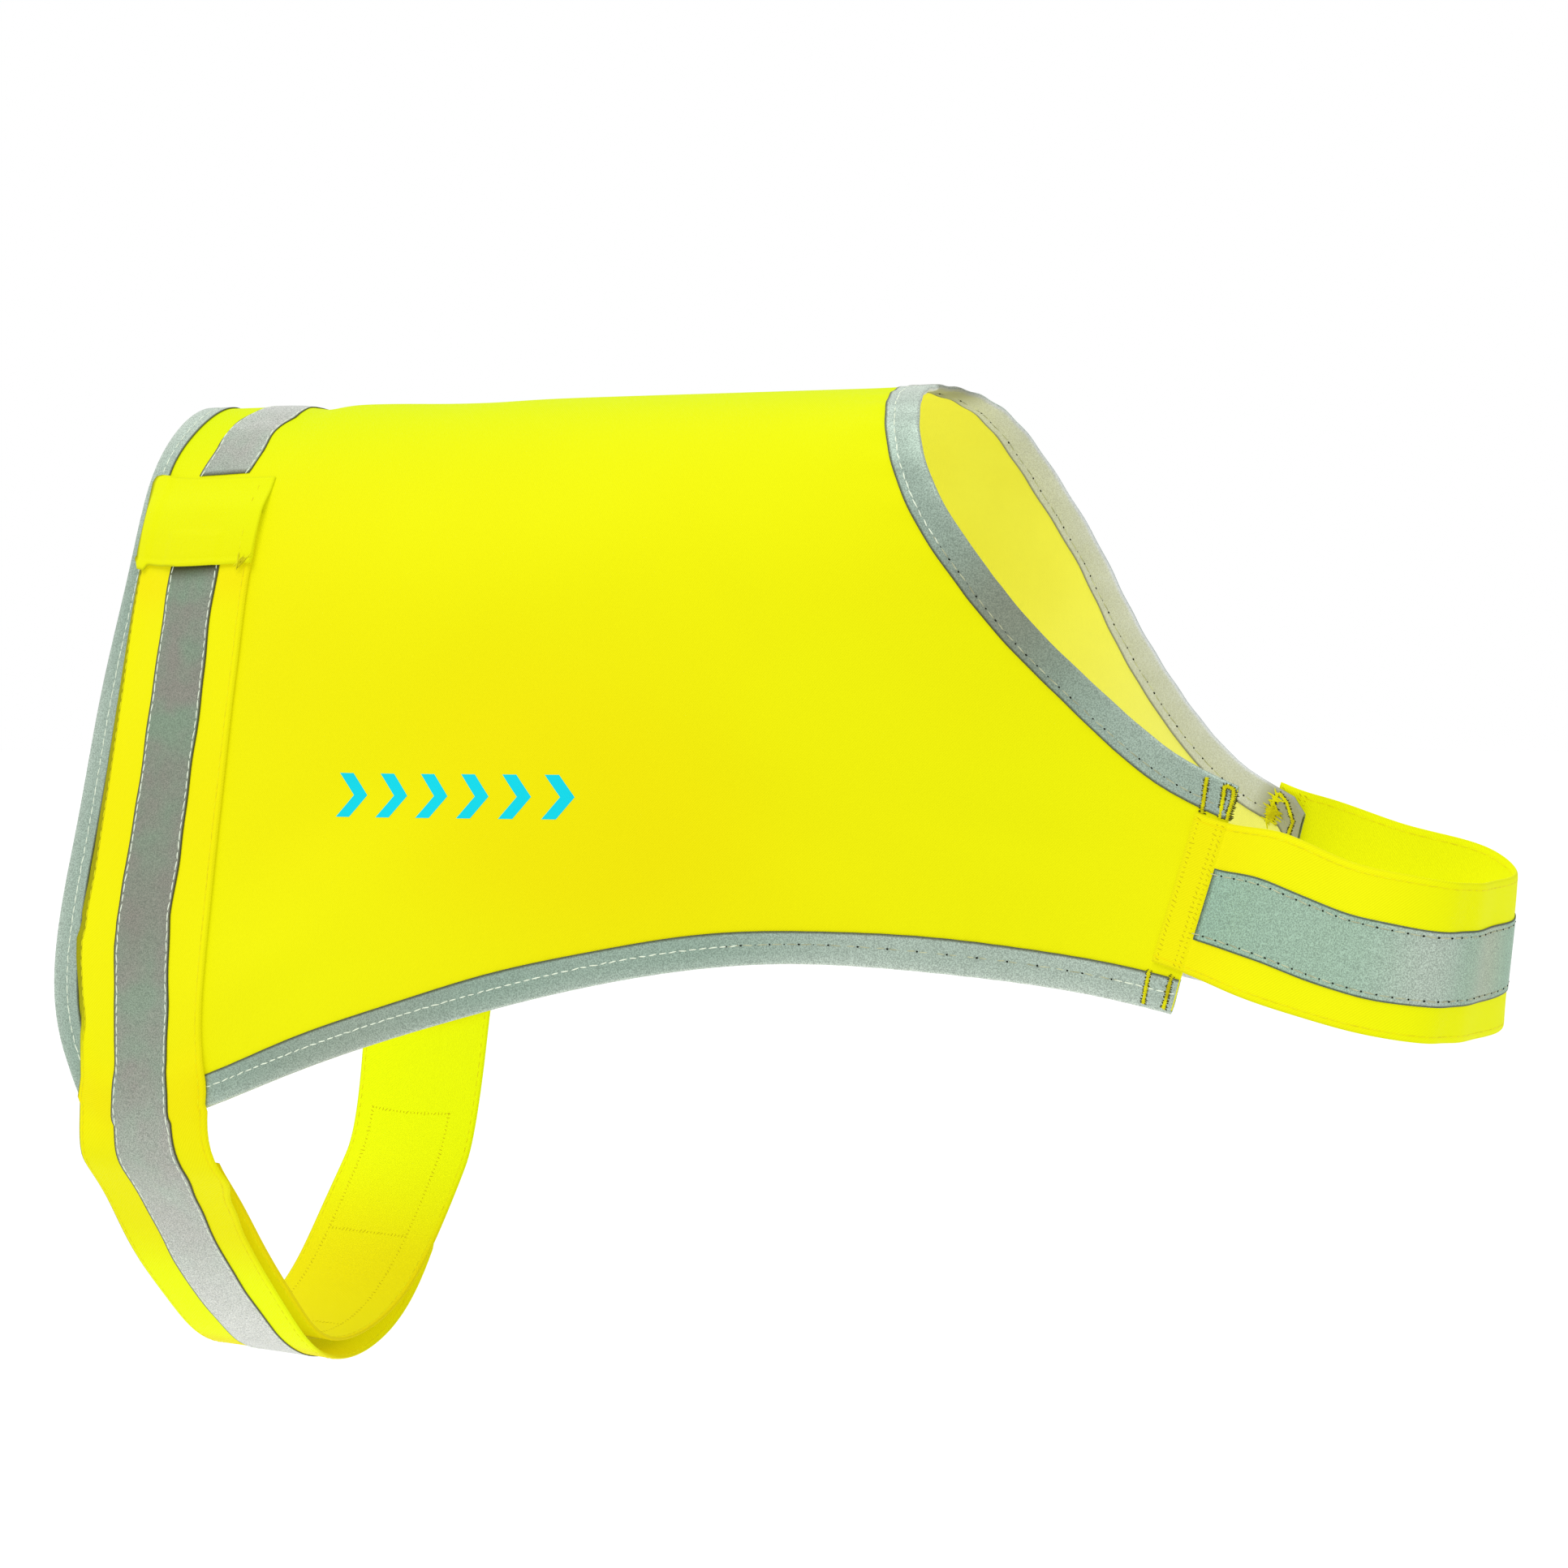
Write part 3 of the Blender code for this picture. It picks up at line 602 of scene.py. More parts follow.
@dataclass(frozen=True)
class Finish:
    """What every finish has: two colours that drift into each other, and a weave that lifts the surface."""

    name: str
    face: str
    shade: str
    drift_mm: float = 70.0
    roughness: float = 0.7
    sheen: float = 0.03
    sheen_roughness: float = 0.45
    metallic: float = 0.0
    specular: float = 0.12
    # glow: the surface also gives off its own colour as light, a painted glow without a lamp that flattens
    # its shading.
    glow: float = 0.0
    glint: str = "#FFFFFF"
    relief_mm: float = 0.08
    # turned: the colour that the tone mark paints in, painted shade (golden) on the yellow cloths and painted
    # light (paler) on the panel's back and on the tapes.
    turned: str = ""
    # worn: the colour that the worn mark paints in, painted light on the yellow cloths and the chest tape,
    # painted shade at the far end of the neck's tape, and taupe and brown-grey patches elsewhere on the
    # tapes.
    worn: str = ""
    # rim: the colour that the rim mark paints in, painted shade along edges and under pieces that lie over
    # others.
    rim: str = ""
    rim_share: float = 0.8

    def material(self) -> bpy.types.Material:
        """The material, made once."""
        found = bpy.data.materials.get(self.name)
        if found is not None:
            return found
        made = bpy.data.materials.new(self.name)
        made.use_nodes = True
        tree = made.node_tree
        tree.nodes.clear()
        fixed = {
            "Roughness": self.roughness,
            "Metallic": self.metallic,
            "Specular IOR Level": self.specular,
            "Specular Tint": linear(self.glint),
            "Sheen Weight": self.sheen,
            "Sheen Roughness": self.sheen_roughness,
        }
        if self.glow:
            fixed["Emission Strength"] = self.glow
        shader = add_node(tree, "ShaderNodeBsdfPrincipled", fixed)
        place = add_node(tree, "ShaderNodeTexCoord").outputs["Object"]
        height, tone = self.weave(tree, place)
        links = {"Vector": place, "Scale": 1000 / self.drift_mm, "Detail": 2.0, "Roughness": 0.5}
        drift = add_node(tree, "ShaderNodeTexNoise", links).outputs["Fac"]
        links = {"Value": drift, "From Min": 0.35, "From Max": 0.65}
        share = add_node(tree, "ShaderNodeMapRange", links).outputs[0]
        links = {0: share, 6: linear(self.face), 7: linear(self.shade)}
        colour = add_node(tree, "ShaderNodeMix", links, data_type="RGBA").outputs[2]
        # The colour is mixed towards the tone colour (painted shade on the yellow cloths, painted light
        # elsewhere), the worn colour (painted light on some pieces, wear and painted shade on others), the
        # weave's dark, and the rim colour (painted shade).
        marks = [("tone", self.turned, 1.0), ("worn", self.worn, 1.0), ("", self.dark, 1.0)]
        for name, aim, most in [*marks, ("rim", self.rim, self.rim_share)]:
            if not aim:
                continue
            share = tone
            if name:
                share = add_node(tree, "ShaderNodeAttribute", attribute_name=name).outputs["Fac"]
            if most < 1:
                share = add_node(tree, "ShaderNodeMath", {0: share, 1: most}, operation="MULTIPLY").outputs[0]
            links = {0: share, 6: colour, 7: linear(aim)}
            colour = add_node(tree, "ShaderNodeMix", links, data_type="RGBA").outputs[2]
        tree.links.new(colour, shader.inputs["Base Color"])
        # The glow: the same colour given off as light, a painted glow.
        if self.glow:
            tree.links.new(colour, shader.inputs["Emission Color"])
        links = {"Height": height, "Distance": self.relief_mm * MM, "Strength": 1.0}
        lifted = add_node(tree, "ShaderNodeBump", links)
        tree.links.new(lifted.outputs[0], shader.inputs["Normal"])
        out = add_node(tree, "ShaderNodeOutputMaterial", {"Surface": shader.outputs[0]})
        out.is_active_output = True
        return made

    @property
    def dark(self) -> str:
        """The colour between the threads."""
        return self.shade

    def weave(self, tree: Tree, place: Socket) -> tuple:
        """Height and darkness of the surface's own pattern."""
        links = {"Vector": place, "Scale": 2500.0, "Detail": 2.0}
        return add_node(tree, "ShaderNodeTexNoise", links).outputs["Fac"], 0.0


@dataclass(frozen=True)
class Wave:
    """A sine wave over the cloth's own coordinates, by its turns for each metre along u and along v."""

    per_u: float
    per_v: float

    def socket(self, tree: Tree) -> Socket:
        """The wave, from -1 to 1."""
        uv = add_node(tree, "ShaderNodeUVMap", uv_map="cloth").outputs[0]
        turns = (self.per_u * math.tau, self.per_v * math.tau, 0.0)
        phase = add_node(tree, "ShaderNodeVectorMath", {0: uv, 1: turns}, operation="DOT_PRODUCT")
        return add_node(tree, "ShaderNodeMath", {0: phase.outputs["Value"]}, operation="SINE").outputs[0]


@dataclass(frozen=True)
class Woven(Finish):
    """Woven polyester: waves of yarns that cross (a plain weave) or that run aslant (a twill)."""

    waves: tuple[Wave, ...] = ()
    gap: str = "#E4DC08"
    gap_share: float = 0.12
    unevenness: float = 1.0

    @property
    def dark(self) -> str:
        """The colour between the yarns."""
        return self.gap

    def weave(self, tree: Tree, place: Socket) -> tuple:
        """The yarns' height, broken by a little unevenness, and how much of a gap shows."""
        pattern = self.waves[0].socket(tree)
        for wave in self.waves[1:]:
            links = {0: pattern, 1: wave.socket(tree)}
            pattern = add_node(tree, "ShaderNodeMath", links, operation="MULTIPLY").outputs[0]
        links = {"Vector": place, "Scale": 350.0, "Detail": 3.0}
        pull = add_node(tree, "ShaderNodeTexNoise", links).outputs["Fac"]
        links = {0: pull, 1: self.unevenness, 2: pattern}
        height = add_node(tree, "ShaderNodeMath", links, operation="MULTIPLY_ADD").outputs[0]
        links = {0: pattern, 1: -self.gap_share / 2, 2: self.gap_share / 2}
        return height, add_node(tree, "ShaderNodeMath", links, operation="MULTIPLY_ADD").outputs[0]


@dataclass(frozen=True)
class BeadTape(Finish):
    """Reflective tape: glass beads on an aluminium film, grey and finely grained."""

    bead_mm: float = 0.45
    speck: str = "#4E5A50"
    speck_share: float = 0.48

    @property
    def dark(self) -> str:
        """The colour between the beads."""
        return self.speck

    def weave(self, tree: Tree, place: Socket) -> tuple:
        """A fine, even grain, drawn several times as coarse as the beads so that it shows."""
        links = {"Vector": place, "Scale": 1000 / self.bead_mm, "Detail": 1.0, "Roughness": 0.6}
        grain = add_node(tree, "ShaderNodeTexNoise", links).outputs["Fac"]
        links = {"Value": grain, "From Min": 0.36, "From Max": 0.64, "To Max": self.speck_share}
        return grain, add_node(tree, "ShaderNodeMapRange", links).outputs[0]


@dataclass(frozen=True)
class LoopPile(Finish):
    """Loop or hook tape: a felt of tiny loops."""

    tuft_mm: float = 1.1
    tuft_share: float = 0.5

    def weave(self, tree: Tree, place: Socket) -> tuple:
        """Round tufts of about a millimetre."""
        links = {"Vector": place, "Scale": 1000 / self.tuft_mm}
        tuft = add_node(tree, "ShaderNodeTexVoronoi", links).outputs["Distance"]
        height = add_node(tree, "ShaderNodeMath", {0: 1.0, 1: tuft}, operation="SUBTRACT").outputs[0]
        links = {0: tuft, 1: self.tuft_share}
        return height, add_node(tree, "ShaderNodeMath", links, operation="MULTIPLY").outputs[0]


# The yarns of both cloths are about 0.35 mm apart, and drawn two to three times as coarse so that they show.
CHEQUER = (Wave(1150, 0), Wave(0, 1150))
DIAGONAL = (Wave(950, 950),)

# Neon-dyed polyester oxford, thinly coated: smooth, painted lemon over the ridge (a painted highlight, its
# worn colour) and golden in its hollows (painted shade, its turned colour); its rim colour is painted shade
# at edges, and its glow is a painted glow.
PANEL_CLOTH = Woven(
    "fluorescent polyester oxford", "#CFD30A", "#CFD00A", waves=CHEQUER, relief_mm=0.03, gap="#CAC808",
    turned="#CFC608", worn="#BACD08", rim="#5C5A12", glow=0.38, roughness=0.65, sheen=0.0, specular=0.12,
    glint="#FFFF40",
)
# Its coated back: paler, with a slight milky film; the paleness, its paler turned colour and its glow also
# stand for painted light coming through the cloth.
PANEL_BACK = Woven(
    "coated back of the oxford", "#DAD840", "#D6D238", waves=CHEQUER, relief_mm=0.02, gap="#D0CA28",
    turned="#D0D06C", drift_mm=45.0, glow=0.40, roughness=0.6, sheen=0.0, specular=0.15, glint="#FFFF80",
)
# The same dye on a heavier twill, with fine diagonal ribs; its golden turned colour is painted shade, its
# brighter worn colour painted light, its rim colour painted shade at the edges, and its glow a painted glow.
STRAP_CLOTH = Woven(
    "fluorescent polyester twill", "#CFD20A", "#CFCE0A", waves=DIAGONAL, relief_mm=0.03, gap="#C4BC08",
    gap_share=0.3, turned="#CFBC08", worn="#D2E40A", rim="#5C5A12", glow=0.44, roughness=0.7, sheen=0.0,
    specular=0.15, glint="#FFFF40",
)
# Glass-bead tape, sewn flat: grey with a green cast, taupe where rubbed, and painted pale where it turns to
# the floor (a painted reflection); its rim colour is painted shade at its edges and below the keeper.
SEWN_TAPE = BeadTape(
    "glass-bead reflective tape", "#8EA58D", "#99998D", drift_mm=16.0, metallic=0.25, roughness=0.45,
    relief_mm=0.03, turned="#EEF0EA", worn="#9A918A", rim="#40400E", rim_share=0.9,
)
# The same tape on the chest strap, newer and greener; its pale turned colour is a painted highlight, its
# beige worn colour a painted sheen, and its rim colour painted shade at the edges.
CHEST_TAPE = BeadTape(
    "fresh glass-bead tape", "#A2CAAE", "#9EC5AF", metallic=0.25, roughness=0.45, relief_mm=0.03,
    turned="#DADFD6", worn="#D2CFB8", rim="#33371A",
)
# The tape folded over an edge: teal-grey, brown-grey in places, with painted shade in its worn colour at the
# far side's ends; its whitish turned colour is a painted highlight over the ridge and along the fold, and its
# rim colour painted shade at the edges.
EDGE_TAPE = BeadTape(
    "folded glass-bead tape", "#95B2A0", "#8FAA99", metallic=0.25, roughness=0.45, relief_mm=0.03,
    turned="#E2EEE2", worn="#8E8F7C", rim="#40400E", rim_share=0.9,
)
# The tape's inner leg, beige-grey, where the fold turns it to the wearer; its dark worn colour is painted
# shade at the neck's far end, its paler turned colour a painted highlight, its rim colour painted shade, and
# its glow a painted glow.
TAPE_BACK = BeadTape(
    "inner leg of the folded tape", "#C3C7CC", "#BABEC3", metallic=0.1, roughness=0.6, relief_mm=0.02,
    speck="#A0A29C", glow=0.16, turned="#D8DCDA", worn="#7C7C52", rim="#55553A",
)
# Spun polyester thread, pale grey and slightly shiny, brightened by a painted glow.
PALE_THREAD = Finish("pale polyester thread", "#DDE6D2", "#CDD6C2", roughness=0.5, drift_mm=8.0, glow=0.22)
# The same thread, stained by the dye, with a faint painted glow.
TAN_THREAD = Finish("stained polyester thread", "#C4C8A6", "#9C9E80", roughness=0.6, drift_mm=5.0, glow=0.05)
# The same thread dyed to match the cloth, which hides it; like the cloth it has a painted glow.
YELLOW_THREAD = Finish("neon polyester thread", "#CFD006", "#C2BA04", roughness=0.6, drift_mm=6.0, glow=0.40)
# The dyed thread packed in a bar tack: it shades itself, so it is painted darker, with less painted glow.
TACK_THREAD = Finish("packed neon thread", "#D8D600", "#B8B000", roughness=0.6, drift_mm=4.0, glow=0.12)
# The dyed thread pulled into the cloth of a seam: golden dots, painted darker for the shade where it sinks
# in, with a painted glow.
SEAM_THREAD = Finish("sunk neon thread", "#B9AC06", "#AEA004", roughness=0.8, drift_mm=6.0, glow=0.34)
# A needle's hole, seen as a dark dot.
NEEDLE_HOLE = Finish("shadow in a needle hole", "#262A1E", "#1E2218", roughness=0.9, sheen=0.0)
# Painted shadow under the close stitches of a bar tack: dark beads laid just below each tack.
TACK_SHADOW = Finish("shadowed thread under a tack", "#5E5C1C", "#4A4A1A", roughness=0.9, sheen=0.0)
# Nylon hook and loop, a rough pile of the cloth's colour.
PILE = LoopPile("nylon hook and loop pile", "#E6E41E", "#D9D61A", roughness=0.9, sheen=0.2, relief_mm=0.4)
# Screen-printed ink: a thin, even, slightly glossy film.
PRINT_INK = Finish("cyan screen ink", "#06D6E6", "#08D0E0", roughness=0.45, sheen=0.0, relief_mm=0.01)


# --- sewing ---


class Line(NamedTuple):
    """A sewing line: its points on the cloth's face, and which way that face looks."""

    points: Array
    facing: Array


@dataclass(frozen=True)
class Stitch:
    """One kind of stitch, in millimetres: a flattened bead of thread along or across its line."""

    name: str
    finish: Finish
    pitch: float = 4.3
    length: float = 3.5
    radius: float = 0.27
    flatness: float = 0.75
    turn: float = 0.0
    shift: float = 0.0
    jitter: float = 0.1
    segments: int = 6
    rings: int = 4
    seed: int = 1


class Thread(Enum):
    """The kinds of stitch on the vest."""

    PALE = Stitch("pale_stitches", PALE_THREAD, pitch=3.6, length=3.3, radius=0.26, jitter=0.16)
    TAN = Stitch("stained_stitches", TAN_THREAD, pitch=5.0, length=4.0, radius=0.22, seed=6)
    YELLOW = Stitch("yellow_stitches", YELLOW_THREAD, pitch=3.6, length=3.0, radius=0.18, seed=2)
    SEAM = Stitch(
        "seam_stitches", SEAM_THREAD, pitch=1.6, length=1.4, radius=0.17,
        turn=1.2, jitter=0.5, rings=3, seed=8,
    )
    TACK = Stitch("bar_tacks", TACK_THREAD, pitch=0.5, length=1.5, radius=0.34, turn=1.45, jitter=0.2, seed=3)
    RAGGED = Stitch(
        "ragged_tacks", TACK_THREAD, pitch=0.42, length=4.8, radius=0.38, turn=1.3, jitter=0.75, seed=4
    )
    SHADOW = Stitch(
        "tack_shadows", TACK_SHADOW, pitch=0.6, length=2.6, radius=0.3, turn=1.5, jitter=0.25, seed=7
    )
    HOLE = Stitch(
        "needle_holes", NEEDLE_HOLE, pitch=5.0, length=0.85, radius=0.36, flatness=0.5, shift=2.5,
        jitter=0.2, rings=3, seed=5,
    )


class Sewing:
    """All sewing lines of the vest, and the Geometry Nodes tree that lays stitches along them."""

    def __init__(self) -> None:
        """Starts with no lines."""
        self.lines: dict[Thread, list[Line]] = {thread: [] for thread in Thread}

    def add(self, thread: Thread, *lines: Line) -> None:
        """Keeps lines of a thread."""
        self.lines[thread] += lines

    def tack(self, thread: Thread, *lines: Line) -> None:
        """Keeps lines of close stitches, with a shadow a little below each."""
        self.add(thread, *lines)
        self.add(Thread.SHADOW, *(Line(line.points - 0.08 * line.facing, line.facing) for line in lines))

    def worn(self, *lines: Line) -> None:
        """Keeps lines of stained thread, with the needle holes between the stitches."""
        self.add(Thread.TAN, *lines)
        self.add(Thread.HOLE, *lines)

    def tree(self) -> bpy.types.GeometryNodeTree:
        """Beads of thread at every pitch along a mesh's edges, turned to the edges and to their facing."""
        tree = bpy.data.node_groups.new("stitches along lines", "GeometryNodeTree")
        shape, number, whole = "NodeSocketGeometry", "NodeSocketFloat", "NodeSocketInt"
        sockets = {"Lines": shape} | dict.fromkeys(
            ("Pitch", "Length", "Radius", "Flatness", "Turn", "Shift", "Jitter"), number
        )
        sockets |= dict.fromkeys(("Segments", "Rings", "Seed"), whole) | {"Thread": "NodeSocketMaterial"}
        for name, kind in sockets.items():
            tree.interface.new_socket(name, in_out="INPUT", socket_type=kind)
        tree.interface.new_socket("Stitches", in_out="OUTPUT", socket_type=shape)
        given = add_node(tree, "NodeGroupInput").outputs
        curve = add_node(tree, "GeometryNodeMeshToCurve", {"Mesh": given["Lines"]}).outputs[0]
        links = {"Curve": curve, "Length": given["Pitch"]}
        paced = add_node(tree, "GeometryNodeResampleCurve", links, mode="LENGTH").outputs[0]
        along = add_node(tree, "GeometryNodeInputTangent").outputs[0]
        links = {0: along, "Scale": given["Shift"]}
        moved = add_node(tree, "ShaderNodeVectorMath", links, operation="SCALE").outputs[0]
        paced = add_node(tree, "GeometryNodeSetPosition", {"Geometry": paced, "Offset": moved}).outputs[0]
        links = {"Name": "facing"}
        facing = add_node(tree, "GeometryNodeInputNamedAttribute", links, data_type="FLOAT_VECTOR").outputs[0]
        links = {"Primary Axis": facing, "Secondary Axis": along}
        axes = {"primary_axis": "Z", "secondary_axis": "X"}
        turned = add_node(tree, "FunctionNodeAxesToRotation", links, **axes).outputs[0]
        other = add_node(tree, "ShaderNodeMath", {0: given["Seed"], 1: 17.0}, operation="ADD").outputs[0]
        chance = [
            add_node(tree, "FunctionNodeRandomValue", {2: -1.0, 3: 1.0, 8: s}, data_type="FLOAT").outputs[1]
            for s in (given["Seed"], other)
        ]
        links = {0: chance[0], 1: given["Jitter"], 2: given["Turn"]}
        angle = add_node(tree, "ShaderNodeMath", links, operation="MULTIPLY_ADD").outputs[0]
        links = {"Axis": (0, 0, 1), "Angle": angle}
        twist = add_node(tree, "FunctionNodeAxisAngleToRotation", links).outputs[0]
        links = {"Rotation": turned, "Rotate By": twist}
        turned = add_node(tree, "FunctionNodeRotateRotation", links, rotation_space="LOCAL").outputs[0]
        links = {0: chance[1], 1: given["Jitter"], 2: 1.0}
        share = add_node(tree, "ShaderNodeMath", links, operation="MULTIPLY_ADD").outputs[0]
        links = {0: given["Length"], 1: share}
        half = add_node(tree, "ShaderNodeMath", links, operation="MULTIPLY").outputs[0]
        half = add_node(tree, "ShaderNodeMath", {0: half, 1: 0.5}, operation="MULTIPLY").outputs[0]
        links = {0: given["Radius"], 1: given["Flatness"]}
        low = add_node(tree, "ShaderNodeMath", links, operation="MULTIPLY").outputs[0]
        scale = add_node(tree, "ShaderNodeCombineXYZ", {"X": half, "Y": given["Radius"], "Z": low}).outputs[0]
        links = {"Segments": given["Segments"], "Rings": given["Rings"], "Radius": 1.0}
        ball = add_node(tree, "GeometryNodeMeshUVSphere", links).outputs[0]
        links = {"Geometry": ball, "Rotation": (0.0, math.pi / 2, 0.0)}
        lying = add_node(tree, "GeometryNodeTransform", links).outputs[0]
        links = {"Points": paced, "Instance": lying, "Rotation": turned, "Scale": scale}
        beads = add_node(tree, "GeometryNodeInstanceOnPoints", links).outputs[0]
        beads = add_node(tree, "GeometryNodeRealizeInstances", {0: beads}).outputs[0]
        beads = add_node(tree, "GeometryNodeSetShadeSmooth", {0: beads}).outputs[0]
        links = {"Geometry": beads, "Material": given["Thread"]}
        beads = add_node(tree, "GeometryNodeSetMaterial", links).outputs[0]
        add_node(tree, "NodeGroupOutput", {0: beads})
        return tree

    def build(self) -> dict[Thread, Piece]:
        """One plain mesh of stitches for each thread that has lines."""
        tree = self.tree()
        keys = {item.name: item.identifier for item in tree.interface.items_tree if item.in_out == "INPUT"}
        used = {thread: lines for thread, lines in self.lines.items() if lines}
        return {thread: self.stitched(thread.value, lines, tree, keys) for thread, lines in used.items()}

    def stitched(
        self, stitch: Stitch, lines: Sequence[Line], tree: bpy.types.GeometryNodeTree, keys: dict[str, str]
    ) -> Piece:
        """The stitches along some lines.

        Args:
            stitch: their kind.
            lines: where they go.
            tree: the tree that lays them.
            keys: the identifier of each of the tree's inputs.

        Returns:
            A plain mesh object, with the modifier gone.
        """
        starts = np.cumsum([0] + [len(line.points) for line in lines])
        edges = [(i, i + 1) for a, b in zip(starts, starts[1:]) for i in range(a, b - 1)]
        guide = bpy.data.meshes.new("sewing lines")
        guide.from_pydata((np.concatenate([line.points for line in lines]) * MM).tolist(), edges, [])
        facing = guide.attributes.new("facing", "FLOAT_VECTOR", "POINT")
        looks = np.concatenate([line.facing for line in lines])
        facing.data.foreach_set("vector", looks.astype(np.float32).ravel())
        holder = placed("sewing lines", guide)
        modifier = holder.modifiers.new("stitches", "NODES")
        modifier.node_group = tree
        sizes = {name: getattr(stitch, name.lower()) * MM for name in ("Pitch", "Length", "Radius", "Shift")}
        plain = ("Flatness", "Turn", "Jitter", "Segments", "Rings", "Seed")
        sizes |= {name: getattr(stitch, name.lower()) for name in plain}
        sizes["Thread"] = stitch.finish.material()
        for name, value in sizes.items():
            modifier[keys[name]] = value
        depsgraph = bpy.context.evaluated_depsgraph_get()
        mesh = bpy.data.meshes.new_from_object(holder.evaluated_get(depsgraph))
        mesh.name = stitch.name
        made = placed(stitch.name, mesh)
        bpy.data.objects.remove(holder, do_unlink=True)
        bpy.data.meshes.remove(guide)
        return made


# --- panel and bindings ---


def spaced(count: int, ends: float = 0.35) -> Array:
    """Shares from 0 to 1 that stand closer near both ends."""
    turns = np.linspace(0, 1, count)
    return turns - ends / math.tau * np.sin(math.tau * turns)


@dataclass
class Panel:
    """The back panel: one sheet over both sides."""

    form: Form
    columns: int = 150
    rows: int = 92

    def build(self) -> Piece:
        """The panel's thin wall, with its creases."""
        half = np.sort(np.concatenate([np.linspace(0, 1, self.rows), [self.form.corner_row, 0.985]]))
        rows = np.concatenate([-half[:0:-1], half])
        x, root = self.form.place(spaced(self.columns)[None, :], rows[:, None])
        points, reach = self.form.raised(x, root), self.form.normal(x, root) * (PANEL_WALL / 2)
        around = self.form.around(x, root)
        uv = np.stack([x, around], axis=-1)
        # tone paints shade in places (see tone); worn paints a greener highlight over the ridge.
        tone, worn = self.tone(x, around), 0.9 * bump(0, 38, around) * np.ones_like(x)
        finishes = (PANEL_CLOTH, PANEL_BACK)
        return shell("back_cloth", points + reach, points - reach, uv, finishes, tone=tone, worn=worn)

    def tone(self, x: Array, around: Array) -> Array:
        """Painted shade: how golden the cloth looks in its hollow, below the keeper and towards the far
        side's front; on the coated back the same mark paints it paler.
        """
        near = 0.9 * bump(-5, 75, x + 0.25 * around) * bump(-150, 60, around)
        near += 0.35 * bump(-85, 40, x) * bump(-120, 90, around)
        near += 0.3 * bump(95, 60, x) * bump(-170, 50, around)
        far = 0.9 * smooth(120, 240, x) * smooth(40, 150, around)
        far += 0.4 * bump(40, 90, x) * bump(170, 60, around)
        return np.clip(0.15 + np.where(around < 0, near, far), 0, 1)


def smoothed(vectors: Array, run: Array, width: float) -> Array:
    """Unit vectors averaged over a width along a run."""
    weights = np.exp(-(((run[:, None] - run[None, :]) / width) ** 2))
    weights *= np.gradient(run)[None, :]
    return unit(weights @ vectors)


# How far the folded tape's legs stand off the panel, from the rim to the fold: they sink at the stitches.
LEG_SUNK = (0.05, 0.06, 0.05, 0.02, -0.14, 0.02, 0.07, 0.05)


